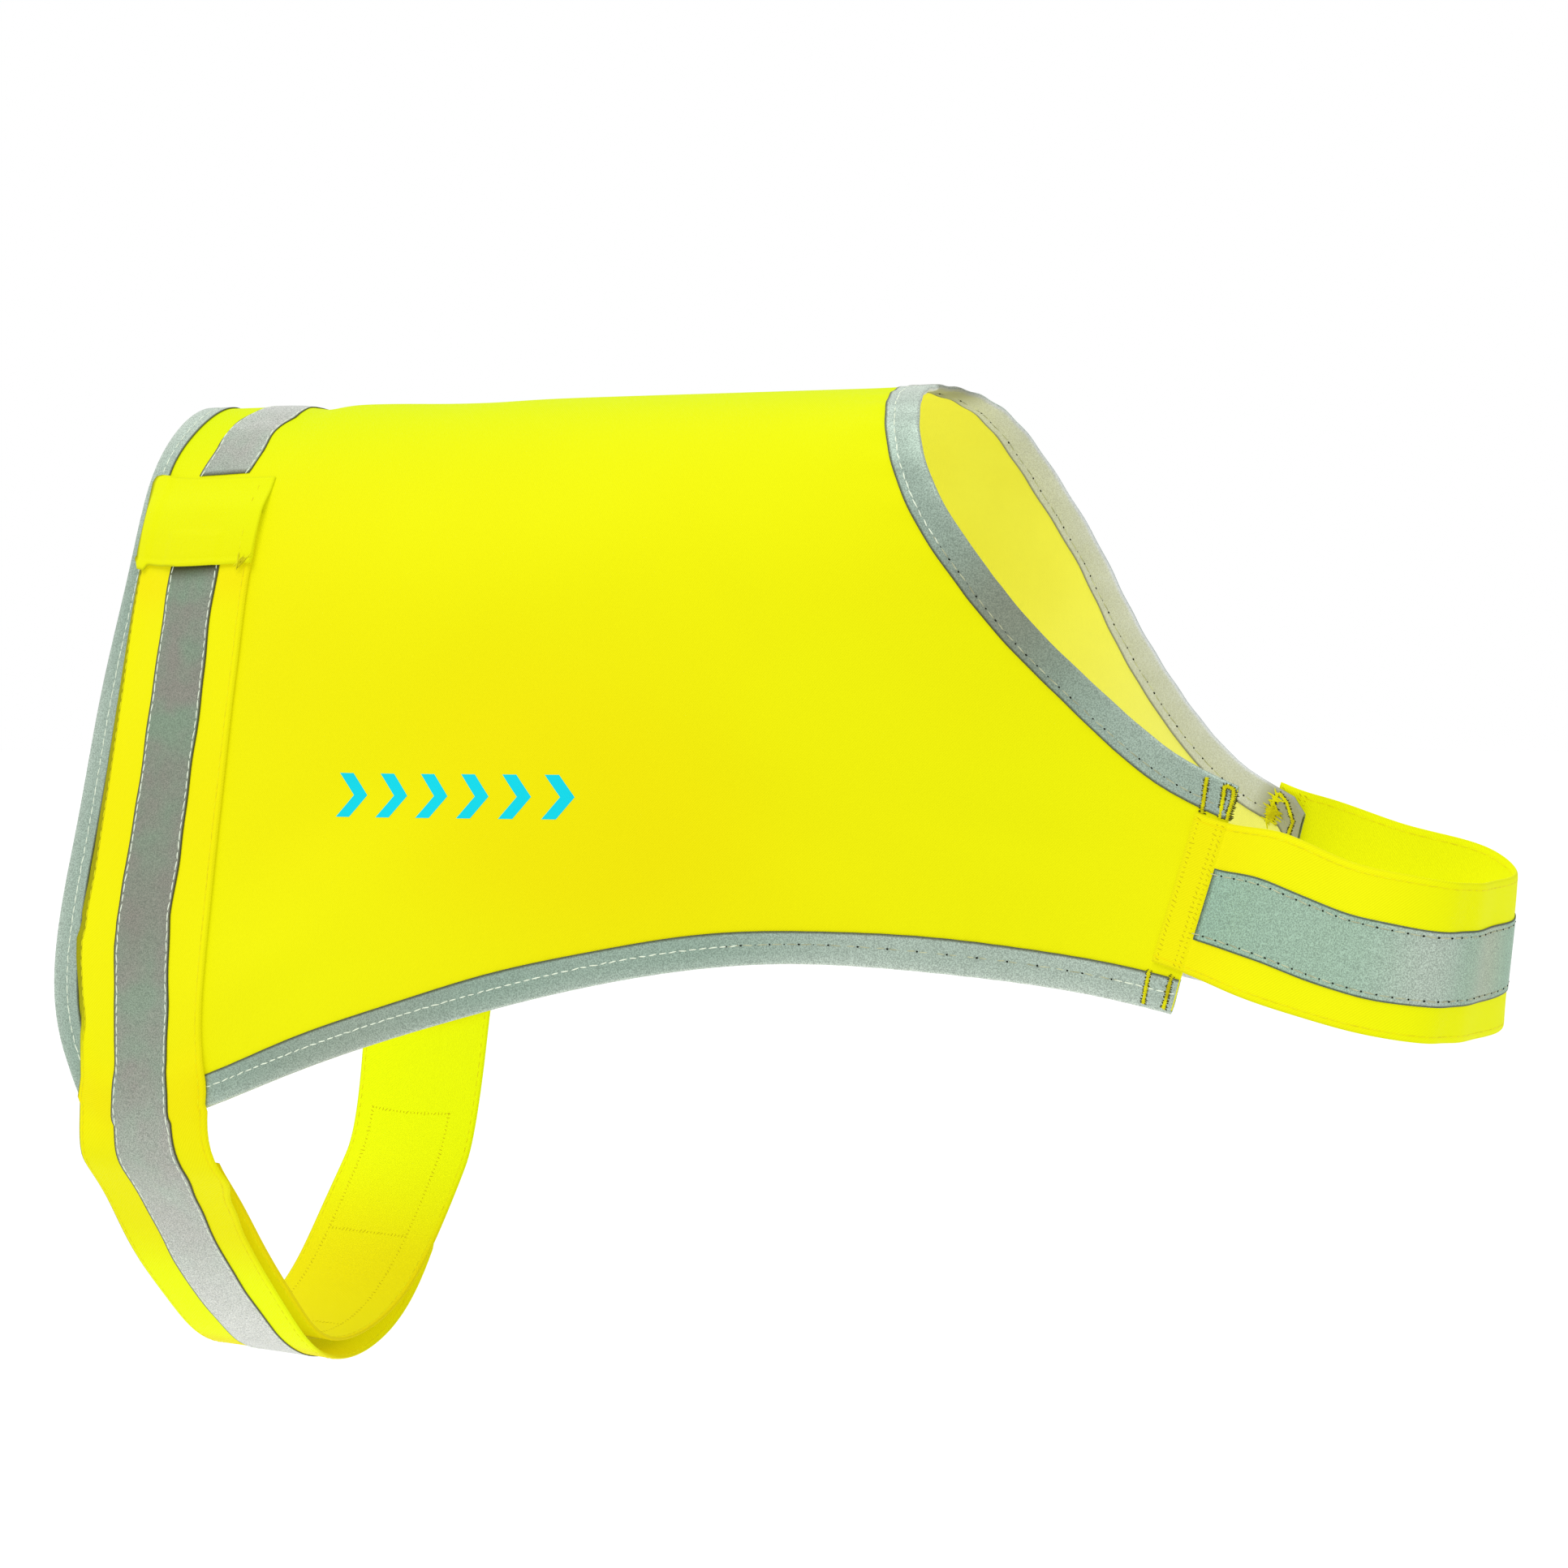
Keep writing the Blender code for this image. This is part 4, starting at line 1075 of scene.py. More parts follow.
@dataclass
class Binding:
    """Reflective tape folded lengthwise round an edge of the panel."""

    form: Form
    name: str
    leg: float
    x: Array
    root: Array
    cuts: tuple[Array, Array]
    # pale: how much painted highlight the tape gets, over its length.
    pale: Callable[[Array, Array], Array]
    # worn: how brown-grey it is, painted shade where it is dark at the neck's far ends.
    worn: Callable[[Array, Array], Array]
    stained: tuple[float, float]
    spare: Callable[[Array], Array]
    stitch_inset: float = 3.0
    flare: float = 0.12
    # fold_pale: painted highlight along the crest of the fold.
    fold_pale: float = 0.15

    def build(self, sewing: Sewing) -> Piece:
        """The folded tape, with its sewing line on both faces."""
        self.turn_in()
        layers = self.legs()
        self.sew(layers, sewing)
        rings = self.rings(layers)
        columns, last = np.arange(rings.shape[1]), len(LEG_SUNK) - 1
        across = np.linspace(0, 4 * self.leg, len(columns))
        uv = np.stack(np.broadcast_arrays(across[None, :], self.run[:, None]), axis=-1)
        # rim paints shade along the tape's edges; tone paints highlight over the ridge and along the fold;
        # worn is brown-grey, painted shade in places.
        rim = np.zeros(len(columns))
        rim[[0, 2 * last + 6, 2 * last + 7, -1]] = 1.0
        rim[[1, 2 * last + 5]] = 0.75
        drift = 0.07 * np.sin(self.run / 37.0) + 0.05 * np.sin(self.run / 14.3)
        pale = np.clip(self.pale(self.x, self.root) + drift, 0, 1)
        fold = self.fold_pale * bump(last + 2, 1.8, columns)
        spread = np.ones(rings.shape[:2])
        marks = {"rim": rim * spread, "tone": np.clip(pale[:, None] + fold, 0, 1)}
        marks["worn"] = np.clip(self.worn(self.x, self.root), 0, 1)[:, None] * spread
        return tube(self.name, rings, uv, range(last + 3, 2 * last + 6), (EDGE_TAPE, TAPE_BACK), **marks)

    def turn_in(self) -> None:
        """Works out which way the legs lie from the edge, turned square to each cut end, and their reach."""
        self.points = self.form.raised(self.x, self.root)
        self.normal = self.form.normal(self.x, self.root)
        self.run = run = run_along(self.points)
        tangent = smoothed(unit(np.gradient(self.points, axis=0)), run, 6.0)
        self.inward = unit(np.cross(tangent, self.normal))
        self.reach = np.ones(len(run))
        for i, cut in zip((0, -1), self.cuts):
            near_end = np.exp(-((np.abs(run - run[i]) / 7.0) ** 2))[:, None]
            turned = unit((1 - near_end) * self.inward + near_end * cut)
            self.reach /= np.maximum((turned * self.inward).sum(axis=1), 0.5)
            self.inward = turned

    def legs(self) -> dict[tuple[int, int], tuple[Array, Array]]:
        """Both faces of each leg at each share of its width, by the leg's side and the share's number."""
        wander = 0.35 * np.sin(self.run / 31.0) + 0.22 * np.sin(self.run / 12.3 + 1.0)
        sewn = (self.leg - self.stitch_inset) / self.leg
        shares = (1.0, 0.955, 0.9, sewn + 0.07, sewn, sewn - 0.07, 0.24, 0.0)
        layers = {}
        for outside in (1, -1):
            for k, share in enumerate(shares):
                leg = self.leg + wander * (share > 0.8) + self.spare(self.root) * (share > 0.3)
                x, root = self.form.inward(self.x, self.root, self.inward, leg * share * self.reach)
                lift = ON_PANEL + LEG_SUNK[k] + (self.flare if k == 0 else 0.0)
                wall = BINDING_WALL * (0.55 if k == 0 else 1.0)
                faces = (outside * lift, outside * (lift + wall))
                layers[outside, k] = tuple(self.form.raised(x, root, height) for height in faces)
        return layers

    def rings(self, layers: dict[tuple[int, int], tuple[Array, Array]]) -> Array:
        """The tape's section at each place along it: over the fold outside, and back inside the legs."""
        last, radius = len(LEG_SUNK) - 1, PANEL_WALL / 2 + SEAM + BINDING_WALL
        ring = [layers[1, k][1] for k in range(last)]
        for angle in np.radians(np.linspace(90, -90, 7)):
            out = (self.reach * (0.25 + radius * math.cos(angle)))[:, None]
            ring.append(self.points - self.inward * out + self.normal * radius * math.sin(angle))
        shoulder = -self.inward * (self.reach * 0.2)[:, None]
        ring += [layers[-1, k][1] for k in reversed(range(last))]
        ring += [layers[-1, k][0] for k in range(last)]
        ring += [layers[-1, last][0] + shoulder, layers[1, last][0] + shoulder]
        ring += [layers[1, k][0] for k in reversed(range(last))]
        return np.stack(ring, axis=1)

    def sew(self, layers: dict[tuple[int, int], tuple[Array, Array]], sewing: Sewing) -> None:
        """The sewing line on both faces: pale outside but for a stained stretch, and stained inside."""
        for outside in (1, -1):
            low, high = layers[outside, LEG_SUNK.index(min(LEG_SUNK))]
            line = Line(high[1:-1], unit(high - low)[1:-1])
            if outside < 0:
                sewing.worn(line)
                continue
            first, end = (int(share * len(self.run)) for share in self.stained)
            spans = ((0, first + 1), (first, end + 1), (end, None))
            parts = [Line(line.points[a:b], line.facing[a:b]) for a, b in spans]
            sewing.add(Thread.PALE, *(part for part in (parts[0], parts[2]) if len(part.points) > 2))
            sewing.worn(parts[1])

    def tack(
        self, station: int, distance: float, outside: int, start: float = 0.03, end: float = 1.08
    ) -> Line:
        """A line across the tape.

        Args:
            station: the end that it is measured from, 0 or -1.
            distance: how far from that end.
            outside: 1 on the outer face, -1 on the inner one.
            start: where it starts, as a share of the tape's width from the fold.
            end: where it ends.

        Returns:
            The line, on the tape's face.
        """
        return self.path([(distance, share) for share in np.linspace(start, end, 16)], station, outside)

    def path(self, places: Sequence[tuple[float, float]], station: int, outside: int) -> Line:
        """A line over the tape.

        Args:
            places: how far each point is from the tape's end, and its share of the width from the fold.
            station: the end that it is measured from, 0 or -1.
            outside: 1 on the outer face, -1 on the inner one.

        Returns:
            The line, on the tape's face.
        """
        distance, share = np.array(places, float).T
        far = np.abs(self.run - self.run[station])
        order = np.argsort(far)
        known = (self.x, self.root, self.reach, *self.inward.T)
        x, root, reach, *inward = [np.interp(distance, far[order], numbers[order]) for numbers in known]
        x, root = self.form.inward(x, root, np.stack(inward, axis=-1), share * self.leg * reach)
        height = ON_PANEL + BINDING_WALL + 0.1 - (BINDING_WALL + SEAM) * smooth(1.0, 1.06, share)
        return Line(self.form.raised(x, root, outside * height), self.form.normal(x, root) * outside)


def front_direction(form: Form, side: Side) -> Array:
    """The unit direction down the straight front edge of a side."""
    row = side.value * form.corner_row
    ends = form.bare(*form.place(np.ones(2), np.array([row, float(side.value)])))
    return unit(ends[1] - ends[0])


NECK_TAIL, NECK_TAIL_DEPTH = 3.8, 6.0  # how far the neck's tape runs on past the far corner, along x and down


def neck_binding(form: Form) -> Binding:
    """The neck's tape, from just past the far corner over the ridge to the near corner."""
    rows = np.linspace(form.corner_row, -form.corner_row, 190)
    x, root = form.place(np.ones_like(rows), rows)
    past = np.linspace(1, 0, 4)[:-1]
    x = np.concatenate([x[0] + NECK_TAIL * past, x])
    root = np.concatenate([np.sqrt(root[0] ** 2 + NECK_TAIL_DEPTH * past), root])
    cuts = front_direction(form, Side.FAR), front_direction(form, Side.NEAR)

    def pale(x: Array, root: Array) -> Array:
        """Painted highlight: whitish over the ridge, and again a little at the near end."""
        near_end = 0.28 * smooth(80, 125, root * root) * (root < 0)
        far = (0.2 + 0.4 * bump(33, 16, root * root)) * (root > 0)
        return 0.08 + 0.95 * bump(0, 3.4, np.abs(root)) + near_end + far

    def worn(x: Array, root: Array) -> Array:
        """Brown-grey half-way down the near side, and dark at the two ends of the far side: painted shade
        there.
        """
        depth = root * root
        near = 0.75 * bump(72, 22, depth) * (root < 0)
        return near + (root > 0) * (0.8 * bump(1.2, 3.0, depth) + 0.7 * smooth(264, 267, x))

    return Binding(form, "neck_edging", 10.2, x, root, cuts, pale, worn, (0.79, 1.0), np.zeros_like)


def hem_binding(form: Form) -> Binding:
    """One length of tape: near hem, rear edge, far hem."""
    columns = spaced(150)
    rows = np.linspace(-1, 1, 230)[1:-1]
    column = np.concatenate([columns[::-1], np.zeros_like(rows), columns])
    row = np.concatenate([-np.ones_like(columns), rows, np.ones_like(columns)])
    x, root = form.place(column, row)
    cuts = -front_direction(form, Side.NEAR), -front_direction(form, Side.FAR)

    def pale(x: Array, root: Array) -> Array:
        """Painted highlight: paler towards the front and the rear, and most over the ridge."""
        ends = 0.25 * smooth(20, 200, x) + 0.12 * smooth(30, 120, -x)
        return 0.16 + ends + 0.55 * bump(0, 4.5, np.abs(root))

    def worn(x: Array, root: Array) -> Array:
        """Brown-grey under the middle of the panel."""
        return 0.3 * bump(-30, 40, x) * np.ones_like(root)

    def spare(root: Array) -> Array:
        """Narrower beside the keeper."""
        return -1.5 * bump(-4.6, 1.5, root)

    stained = (0.02, 0.11)
    return Binding(
        form, "hem_edging", 10.6, x, root, cuts, pale, worn, stained, spare, stitch_inset=5.0, fold_pale=0.7
    )


# --- strips of cloth ---


@dataclass
class Ribbon:
    """A strip of cloth as a grid of its middle points: stations along it by lines across it."""

    points: Array
    normals: Array
    across: Array

    def __post_init__(self) -> None:
        """Makes the normals unit vectors and measures the length along the middle line."""
        self.normals = unit(self.normals)
        middle = self.points[:, len(self.across) // 2]
        self.along = run_along(middle)

    @property
    def length(self) -> float:
        """Length along the middle line."""
        return float(self.along[-1])

    def read(self, along: Array, across: Array) -> tuple[Array, Array]:
        """Points and unit normals at the wanted places, on a grid of along by across."""
        tables = []
        for grid in (self.points, self.normals):
            lines = np.array(
                [[np.interp(across, self.across, line[:, k]) for k in range(3)] for line in grid]
            )
            flat = lines.reshape(len(self.along), -1)
            read = np.stack([np.interp(along, self.along, column) for column in flat.T], axis=1)
            tables.append(read.reshape(len(along), 3, len(across)).transpose(0, 2, 1))
        return tables[0], unit(tables[1])

    def part(self, along: Array, across: Array, lift: Array | float = 0.0) -> Ribbon:
        """A strip that lies on this one, moved out by a lift, which may differ over its grid."""
        points, normals = self.read(along, across)
        return Ribbon(points + np.broadcast_to(lift, points.shape[:2])[..., None] * normals, normals, across)

    def laid(self, along: Array, places: Array, across: Array, lift: Array) -> Ribbon:
        """A strip on this one whose places across it differ from station to station.

        Args:
            along: its stations.
            places: a grid of places across this strip.
            across: its own lines.
            lift: its height over this strip's middle, over the grid.

        Returns:
            The strip.
        """
        points, normals = self.read(along, self.across)
        read = [
            np.stack([np.interp(row, self.across, line[:, k]) for k in range(3)], axis=1)
            for grid in (points, normals)
            for row, line in zip(places, grid)
        ]
        count = len(along)
        normals = unit(np.array(read[count:]))
        return Ribbon(np.array(read[:count]) + lift[..., None] * normals, normals, across)

    def pushed(self, offset: Array) -> Ribbon:
        """The strip with its points moved across it, by an offset over its grid."""
        sideways = unit(np.gradient(self.points, axis=1))
        return Ribbon(self.points + sideways * offset[..., None], self.normals, self.across)

    def line(self, across: float, lift: float, start: float, end: float, step: float = 3.0) -> Line:
        """A sewing line along the ribbon, between two lengths."""
        along = np.linspace(start, end, max(2, int(abs(end - start) / step) + 1))
        points, normals = self.read(along, np.array([across]))
        return Line(points[:, 0] + lift * normals[:, 0], normals[:, 0] * math.copysign(1, lift))

    def cross_line(self, along: float, lift: float, start: float, end: float) -> Line:
        """A sewing line across the ribbon, at one length."""
        points, normals = self.read(np.array([along]), np.linspace(start, end, 15))
        return Line(points[0] + lift * normals[0], normals[0] * math.copysign(1, lift))

    def solid(
        self,
        name: str,
        wall: float,
        finish: Finish,
        round_edge: float = 0.6,
        rims: tuple[float, float] = (1.0, 1.0),
        **marks: Array,
    ) -> Piece:
        """The strip with a wall about its middle, rounded towards its edges.

        Args:
            name: the piece's name.
            wall: its thickness.
            finish: the finish that it wears.
            round_edge: how far from an edge the wall starts to thin.
            rims: how much painted shade its first and last long edges get.
            marks: the finish's other marks over the grid, by name.

        Returns:
            The piece.
        """
        edge = np.minimum(self.across - self.across[0], self.across[-1] - self.across)
        share = np.clip(edge / round_edge, 0.0, 1.0)
        half = wall / 2 * np.maximum(np.sqrt(1 - (1 - share) ** 2), 0.25)
        ends = np.clip(np.minimum(self.along, self.along[-1] - self.along) / 0.5, 0, 1)
        half = half[None, :] * np.maximum(np.sqrt(1 - (1 - ends) ** 2), 0.35)[:, None]
        reach = self.normals * half[..., None]
        uv = np.stack(np.broadcast_arrays(self.across[None, :], self.along[:, None]), axis=-1)
        last = np.minimum(self.along, self.along[-1] - self.along)
        # Painted shade along the long edges, across the ends, and where a shadow mark is given.
        sides = np.where(self.across < self.across.mean(), *rims) * (edge < 0.5)
        rim = np.maximum(sides[None, :], max(rims) * (last < 0.05)[:, None])
        marks = {"rim": np.maximum(rim, marks.pop("shadow", 0.0))} | marks
        marks = {mark: np.broadcast_to(grid, half.shape) for mark, grid in marks.items()}
        return shell(name, self.points + reach, self.points - reach, uv, (finish,), **marks)


def lines_across(low: float, high: float, step: float, sewn: Sequence[float] = ()) -> Array:
    """Places across a strip: even ones, three more at each edge, and a few about each sewing line."""
    even = np.linspace(low, high, int((high - low) / step) + 1)
    edges = [low + inset for inset in (0.12, 0.35, 0.8)] + [high - inset for inset in (0.8, 0.35, 0.12)]
    about = [place + offset for place in sewn for offset in (-1.2, -0.5, 0.0, 0.5, 1.2)]
    about = [a for a in about if low + 1.2 < a < high - 1.2]
    clear = [e for e in even if e in (low, high) or all(abs(e - other) > 0.6 for other in edges + about)]
    return np.array(sorted([*clear, *edges, *about]))


@dataclass
class SewnTape:
    """Flat reflective tape with a sewing line near each of its long edges."""

    name: str
    inset: float = 1.3
    half: float = TAPE_WIDTH / 2
    finish: BeadTape = SEWN_TAPE
    stained: bool = False
    wander: float = 1.0
    edges: Callable[[Array], Sequence[Array]] = lambda along: np.zeros((2, len(along)))

    def build(
        self,
        base: Ribbon,
        sewing: Sewing,
        start: float,
        end: float,
        lift: float,
        centre: Callable[[Array], Array],
        **marks: Callable[[Array], Array],
    ) -> Piece:
        """The tape on a strip.

        Args:
            base: the strip that it lies on.
            sewing: takes its stitches.
            start: where it starts along the strip.
            end: where it ends.
            lift: height of the strip's face over the strip's middle.
            centre: its middle line's place across the strip, over the length.
            marks: the finish's marks over the length, by name.

        Returns:
            The tape's piece.
        """
        rows = (-self.half + self.inset, self.half - self.inset)
        along = np.linspace(start, end, max(8, int((end - start) / 2.0)))
        across = lines_across(-self.half, self.half, 3.0, rows)
        dip = -0.11 * sum(bump(row, 0.6, across) for row in rows)
        puckers = 0.05 * np.sin(along / 2.3 + 0.8 * np.sin(along / 17.0))
        swell = puckers[:, None] * bump(0, 0.9 * self.half, across)
        edge = self.wander * (0.22 * np.sin(along / 9.0) + 0.16 * np.sin(along / 4.1 + 1.0))
        places = across[None, :] + edge[:, None] * (across / self.half)[None, :] ** 3
        places = places + centre(along)[:, None]
        for side, stray in zip((-1, 1), self.edges(along)):
            places = places + stray[:, None] * np.clip(side * across / self.half, 0, 1)[None, :] ** 2
        tape = base.laid(along, places, across, lift + SEAM + TAPE_WALL / 2 + dip[None, :] + swell)
        for row in rows:
            line = tape.line(row, TAPE_WALL / 2 + 0.04, 1.0, tape.length - 1.0)
            if self.stained:
                sewing.worn(line)
            else:
                sewing.add(Thread.PALE, line)
        grids = {mark: np.clip(of(along), 0, 1)[:, None] for mark, of in marks.items()}
        return tape.solid(self.name, TAPE_WALL, self.finish, 0.35, **grids)


# --- girth ---


class GirthRow(NamedTuple):
    """The girth below the hems, from the belly up to one hem."""

    half_width: float
    depth: float


class Lap(NamedTuple):
    """How the layers of the girth run, at a share of the way from the near hem to the far hem."""

    share: float
    outer_lift: float
    outer_forward: float
    inner_lift: float
    inner_forward: float


GIRTH = table(
    GirthRow,
    (0, 343.5), (22, 339.0), (46, 321.5), (69, 294.0), (85, 268.0), (91, 250.0),
)
NEAR_GIRTH = table(
    GirthRow,
    (20, 339.5), (42.5, 322.5), (65.5, 295.0), (82.5, 271.5), (89.5, 261.0), (91, 250.0),
)
LAPS = table(
    Lap,
    (0.00, 2.9, 1.2, -1.9, 4.0), (0.08, 2.9, 1.9, -1.9, 3.7), (0.25, 2.9, 2.9, -1.9, 4.2),
    (0.50, 5.5, 1.8, -1.2, 0.8), (0.75, 4.0, -2.6, 1.2, -0.2), (1.00, 5.0, -3.4, 2.9, 0.0),
)


# How far the near strap's rear edge and its tape's middle stray forward, by length from its upper end.
EDGE_STRAY = (
    (0, 0.6), (70, 0.6), (100, 0.9), (130, 0.5), (146.5, -1.3), (151.5, -0.9), (154.5, -2.6),
    (163.5, -1.9), (170.5, -0.6), (175.5, 0.2), (179.5, 1.3), (184.5, 2.1), (187.5, 2.0), (190, 1.7),
    (199.5, 2.0), (209, 2.2), (222, 0.5), (250, 0.0), (450, 0.0),
)
TAPE_STRAY = (
    (0, 2.4), (45, 2.3), (75, 2.0), (105, 1.5), (128, 1.0), (148, -0.2), (163, 0.7), (180, 1.6),
    (197, 1.9), (215, 1.3), (245, 1.7), (285, 0.9), (300, 1.2), (320, 2.8), (360, 2.8), (450, 0.0),
)
# How pale the near strap's tape is painted, by the same length: a painted reflection, strongest where it
# turns to the floor under the belly.
TAPE_PALE = (
    (0, 0.0), (60, 0.03), (110, 0.0), (150, 0.04), (180, 0.1), (205, 0.14), (225, 0.3), (250, 0.5),
    (275, 0.63), (295, 0.82), (320, 1.0), (450, 0.6),
)
# Bells of height, centre and width: the near strap's front edge bulges about the hem, from where their
# centres count; its cloth is painted golden in places, which is painted shade, and both tapes are rubbed in
# places.
HEM_BULGES = ((3.0, -4, 12), (7.0, 20, 9), (1.8, 36, 8))
STRAP_GOLD = ((0.4, 27, 9), (0.25, 110, 40), (0.4, 215, 14))
NEAR_TAPE_WEAR = ((0.6, 142, 22), (0.4, 98, 12), (0.3, 60, 9))
FAR_TAPE_WEAR = ((0.5, 85, 20), (0.4, 150, 15))


@dataclass
class Girth:
    """The two girth straps that close under the belly, their tapes and the fastener between them."""

    form: Form
    centre: float = -122.0
    drift: float = 3.0
    half: float = 28.0
    top_depth: float = 38.0
    settling: tuple[float, float] = (0.055, 0.16)
    panel_stations: int = 84
    outer_end: float = 29 / 38
    inner_end: float = 2 / 38
    loop_ends: tuple[float, float] = (4 / 38, 33 / 38)
    hook_ends: tuple[float, float] = (5 / 38, 16 / 38)
    pile_span: tuple[float, float] = (-21.5, 16.5)
    tape_top: float = 9.0
    keeper_foot: float = 20.5
    far_tape_foot: float = 30.0
    edge_row: float = 26.0
    inner_row: float = 11.1
    pile_seam: float = 1.3
    first_lift: float = 2.9

    def __post_init__(self) -> None:
        """Fits the girth's own curve."""
        ridge = self.form.ridge_z(self.centre)
        near = [(-row.half_width, ridge - row.depth) for row in reversed(NEAR_GIRTH)]
        profile = np.array(near + [(row.half_width, ridge - row.depth) for row in GIRTH])
        runs = run_along(profile)
        self.curve = Spline(runs / runs[-1], profile)
        self.laps = Spline([lap.share for lap in LAPS], [lap[1:] for lap in LAPS])
        self.across = lines_across(-self.half, self.half, 3.4, (-self.edge_row, self.edge_row))

    def on_panel(self, side: Side, rows: Array) -> tuple[Array, Array]:
        """Points and normals of the strap's middle where it lies on the panel."""
        form, line = self.form, self.across[None, :]
        depth = (rows**2 * REAR_EDGE[-1].depth)[:, None]
        x = self.centre + self.drift * np.minimum(depth, 250) / 250 + line
        root = form.root_at(x, side.value * rows[:, None])
        over_rear = 1 - smooth(10.8, 14.5, x - form.rear(np.abs(root)))
        over_hem = smooth(0.962, 0.975, rows)[:, None]
        lift = ON_PANEL + BAND_WALL / 2 + np.maximum(over_rear, over_hem) * (BINDING_WALL + SEAM + 0.3)
        return form.raised(x, root, lift), form.normal(x, root)

    def hanging(self, shares: Array, lift: Array, forward: Array) -> tuple[Array, Array]:
        """Points and normals of a strap's middle where it hangs free."""
        at = self.curve(shares)
        ahead = unit(self.curve(shares + 0.004) - self.curve(shares - 0.004))
        outward = np.stack([np.zeros_like(shares), ahead[:, 1], -ahead[:, 0]], axis=-1)
        middle = np.concatenate([(self.centre + self.drift + forward)[:, None], at], axis=1)
        middle = middle + lift[:, None] * outward
        points = middle[:, None, :] + self.across[None, :, None] * np.array([1.0, 0, 0])
        return points, np.broadcast_to(outward[:, None, :], points.shape)

    def wave(self, shares: Array) -> Array:
        """Uneven soft waves of the straps' edges below the hems, over a grid."""
        line = self.across[None, :] / self.half
        s = shares[:, None] * 380
        edge = 0.5 * np.sin(s / 21 + 0.7) * line**2 * np.sign(line)
        edge = edge + 0.3 * np.sin(s / 13 + 1.4) * line**2
        return edge * (smooth(0.02, 0.15, shares) * smooth(0.02, 0.15, 1 - shares))[:, None]

    def strap(self, side: Side) -> Ribbon:
        """A whole strap, from its upper end down the panel and round below it."""
        outer = side is Side.NEAR
        rows = np.linspace(self.form.row_at(self.centre, self.top_depth), 1.0, self.panel_stations)
        points, normals = self.on_panel(side, rows)
        first, last, count = (0, self.outer_end, 110) if outer else (1, self.inner_end, 130)
        shares = np.linspace(first, last, count)[1:]
        laps = self.laps(shares)
        lift, forward = (laps[:, 0], laps[:, 1]) if outer else (laps[:, 2], laps[:, 3])
        hung, outward = self.hanging(shares, lift, forward)
        start = self.hanging(np.array([float(first)]), np.array([self.first_lift]), np.array([0.0]))
        hanging = shares if outer else 1 - shares
        fade = (1 - smooth(0, self.settling[side is Side.FAR], hanging))[:, None, None]
        hung = hung + fade * (points[-1] - start[0][0])
        outward = unit(outward + fade * (normals[-1] - start[1][0]))
        hung = hung + self.wave(shares)[..., None] * outward
        strap = Ribbon(np.concatenate([points, hung]), np.concatenate([normals, outward]), self.across)
        if not outer:
            return strap
        stray = np.interp(strap.along, *zip(*EDGE_STRAY))[:, None]
        hem = strap.along[self.panel_stations - 1]
        front = bells(HEM_BULGES, strap.along, hem) - 1.2 * (1 - smooth(4, 14, strap.along))
        tucked = 2.5 * smooth(strap.length - 14, strap.length - 4, strap.along)
        side = np.clip(np.stack([-self.across, self.across]) / self.half, 0, 1)[:, None, :] ** 1.5
        return strap.pushed((stray + tucked[:, None]) * side[0] + (front - tucked)[:, None] * side[1])

    def pile(self, name: str, strap: Ribbon, ends: tuple[float, float], face: int) -> Piece:
        """A strip of the touch fastener on a strap's outer face (1) or inner face (-1)."""
        across = lines_across(*self.pile_span, 3.0)
        lift = face * (BAND_WALL / 2 + SEAM + FASTENER_WALL / 2)
        return strap.part(np.linspace(*ends, 90), across, lift).solid(name, FASTENER_WALL, PILE)

    def straps(self) -> dict[str, Piece]:
        """The two straps, with painted shade (golden, shaded and at their edges) and painted light (lit and
        pale) in places.
        """
        near, far = self.near, self.far
        here = near.along - self.leaves[0]
        # Near strap: golden is painted shade, lit a painted light on its hanging part, shadow painted shade
        # along its rear edge, fading out lower down.
        golden = 0.12 + bells(STRAP_GOLD, near.along) + 0.5 * bump(132, 16, here)
        lit = 0.85 * smooth(45, 85, here) * (1 - smooth(108, 122, here))
        rear = (near.across < 0.4 - self.edge_row)[None, :]
        shadow = 0.9 * rear * (1 - smooth(170, 210, near.along))[:, None]
        # hem: painted shade along the sewing rows near the edges.
        hem = 0.45 * (np.abs(np.abs(near.across) - self.edge_row) < 0.1)[None, :]
        # Far strap: shaded is painted shade low down and beyond its front row, pale a painted highlight just
        # below the hem.
        below = far.along[:, None] - self.leaves[1]
        low = smooth(35, 110, below)
        shaded = 0.5 * low + 0.3 * low * (far.across > self.edge_row)[None, :] + hem * (1 - low)
        pale = 0.9 * smooth(-10, 10, below) * (1 - low)
        tone = np.clip(golden[:, None] + hem, 0, 1)
        # The rims are painted shade along the long edges.
        outer = ("near_belly_strap", BAND_WALL, STRAP_CLOTH, 1.8, (1.0, 0.12))
        inner = ("far_belly_strap", BAND_WALL, STRAP_CLOTH, 1.8, (0.3, 0.2))
        return {
            "girth_strap_outer": near.solid(*outer, tone=tone, worn=lit[:, None], shadow=shadow),
            "girth_strap_inner": far.solid(*inner, tone=shaded, worn=pale),
        }

    def tapes(self, sewing: Sewing) -> dict[str, Piece]:
        """The reflective tapes down the middles of both straps."""
        top, far_end = BAND_WALL / 2, self.leaves[1] - self.far_tape_foot
        self.laid = {"girth_tape_far": far_end - self.tape_top}

        def edges(along: Array) -> tuple[Array, Array]:
            """The near tape widens on its way under the belly."""
            return 0.3 * smooth(215, 240, along), 1.4 * smooth(200, 225, along)

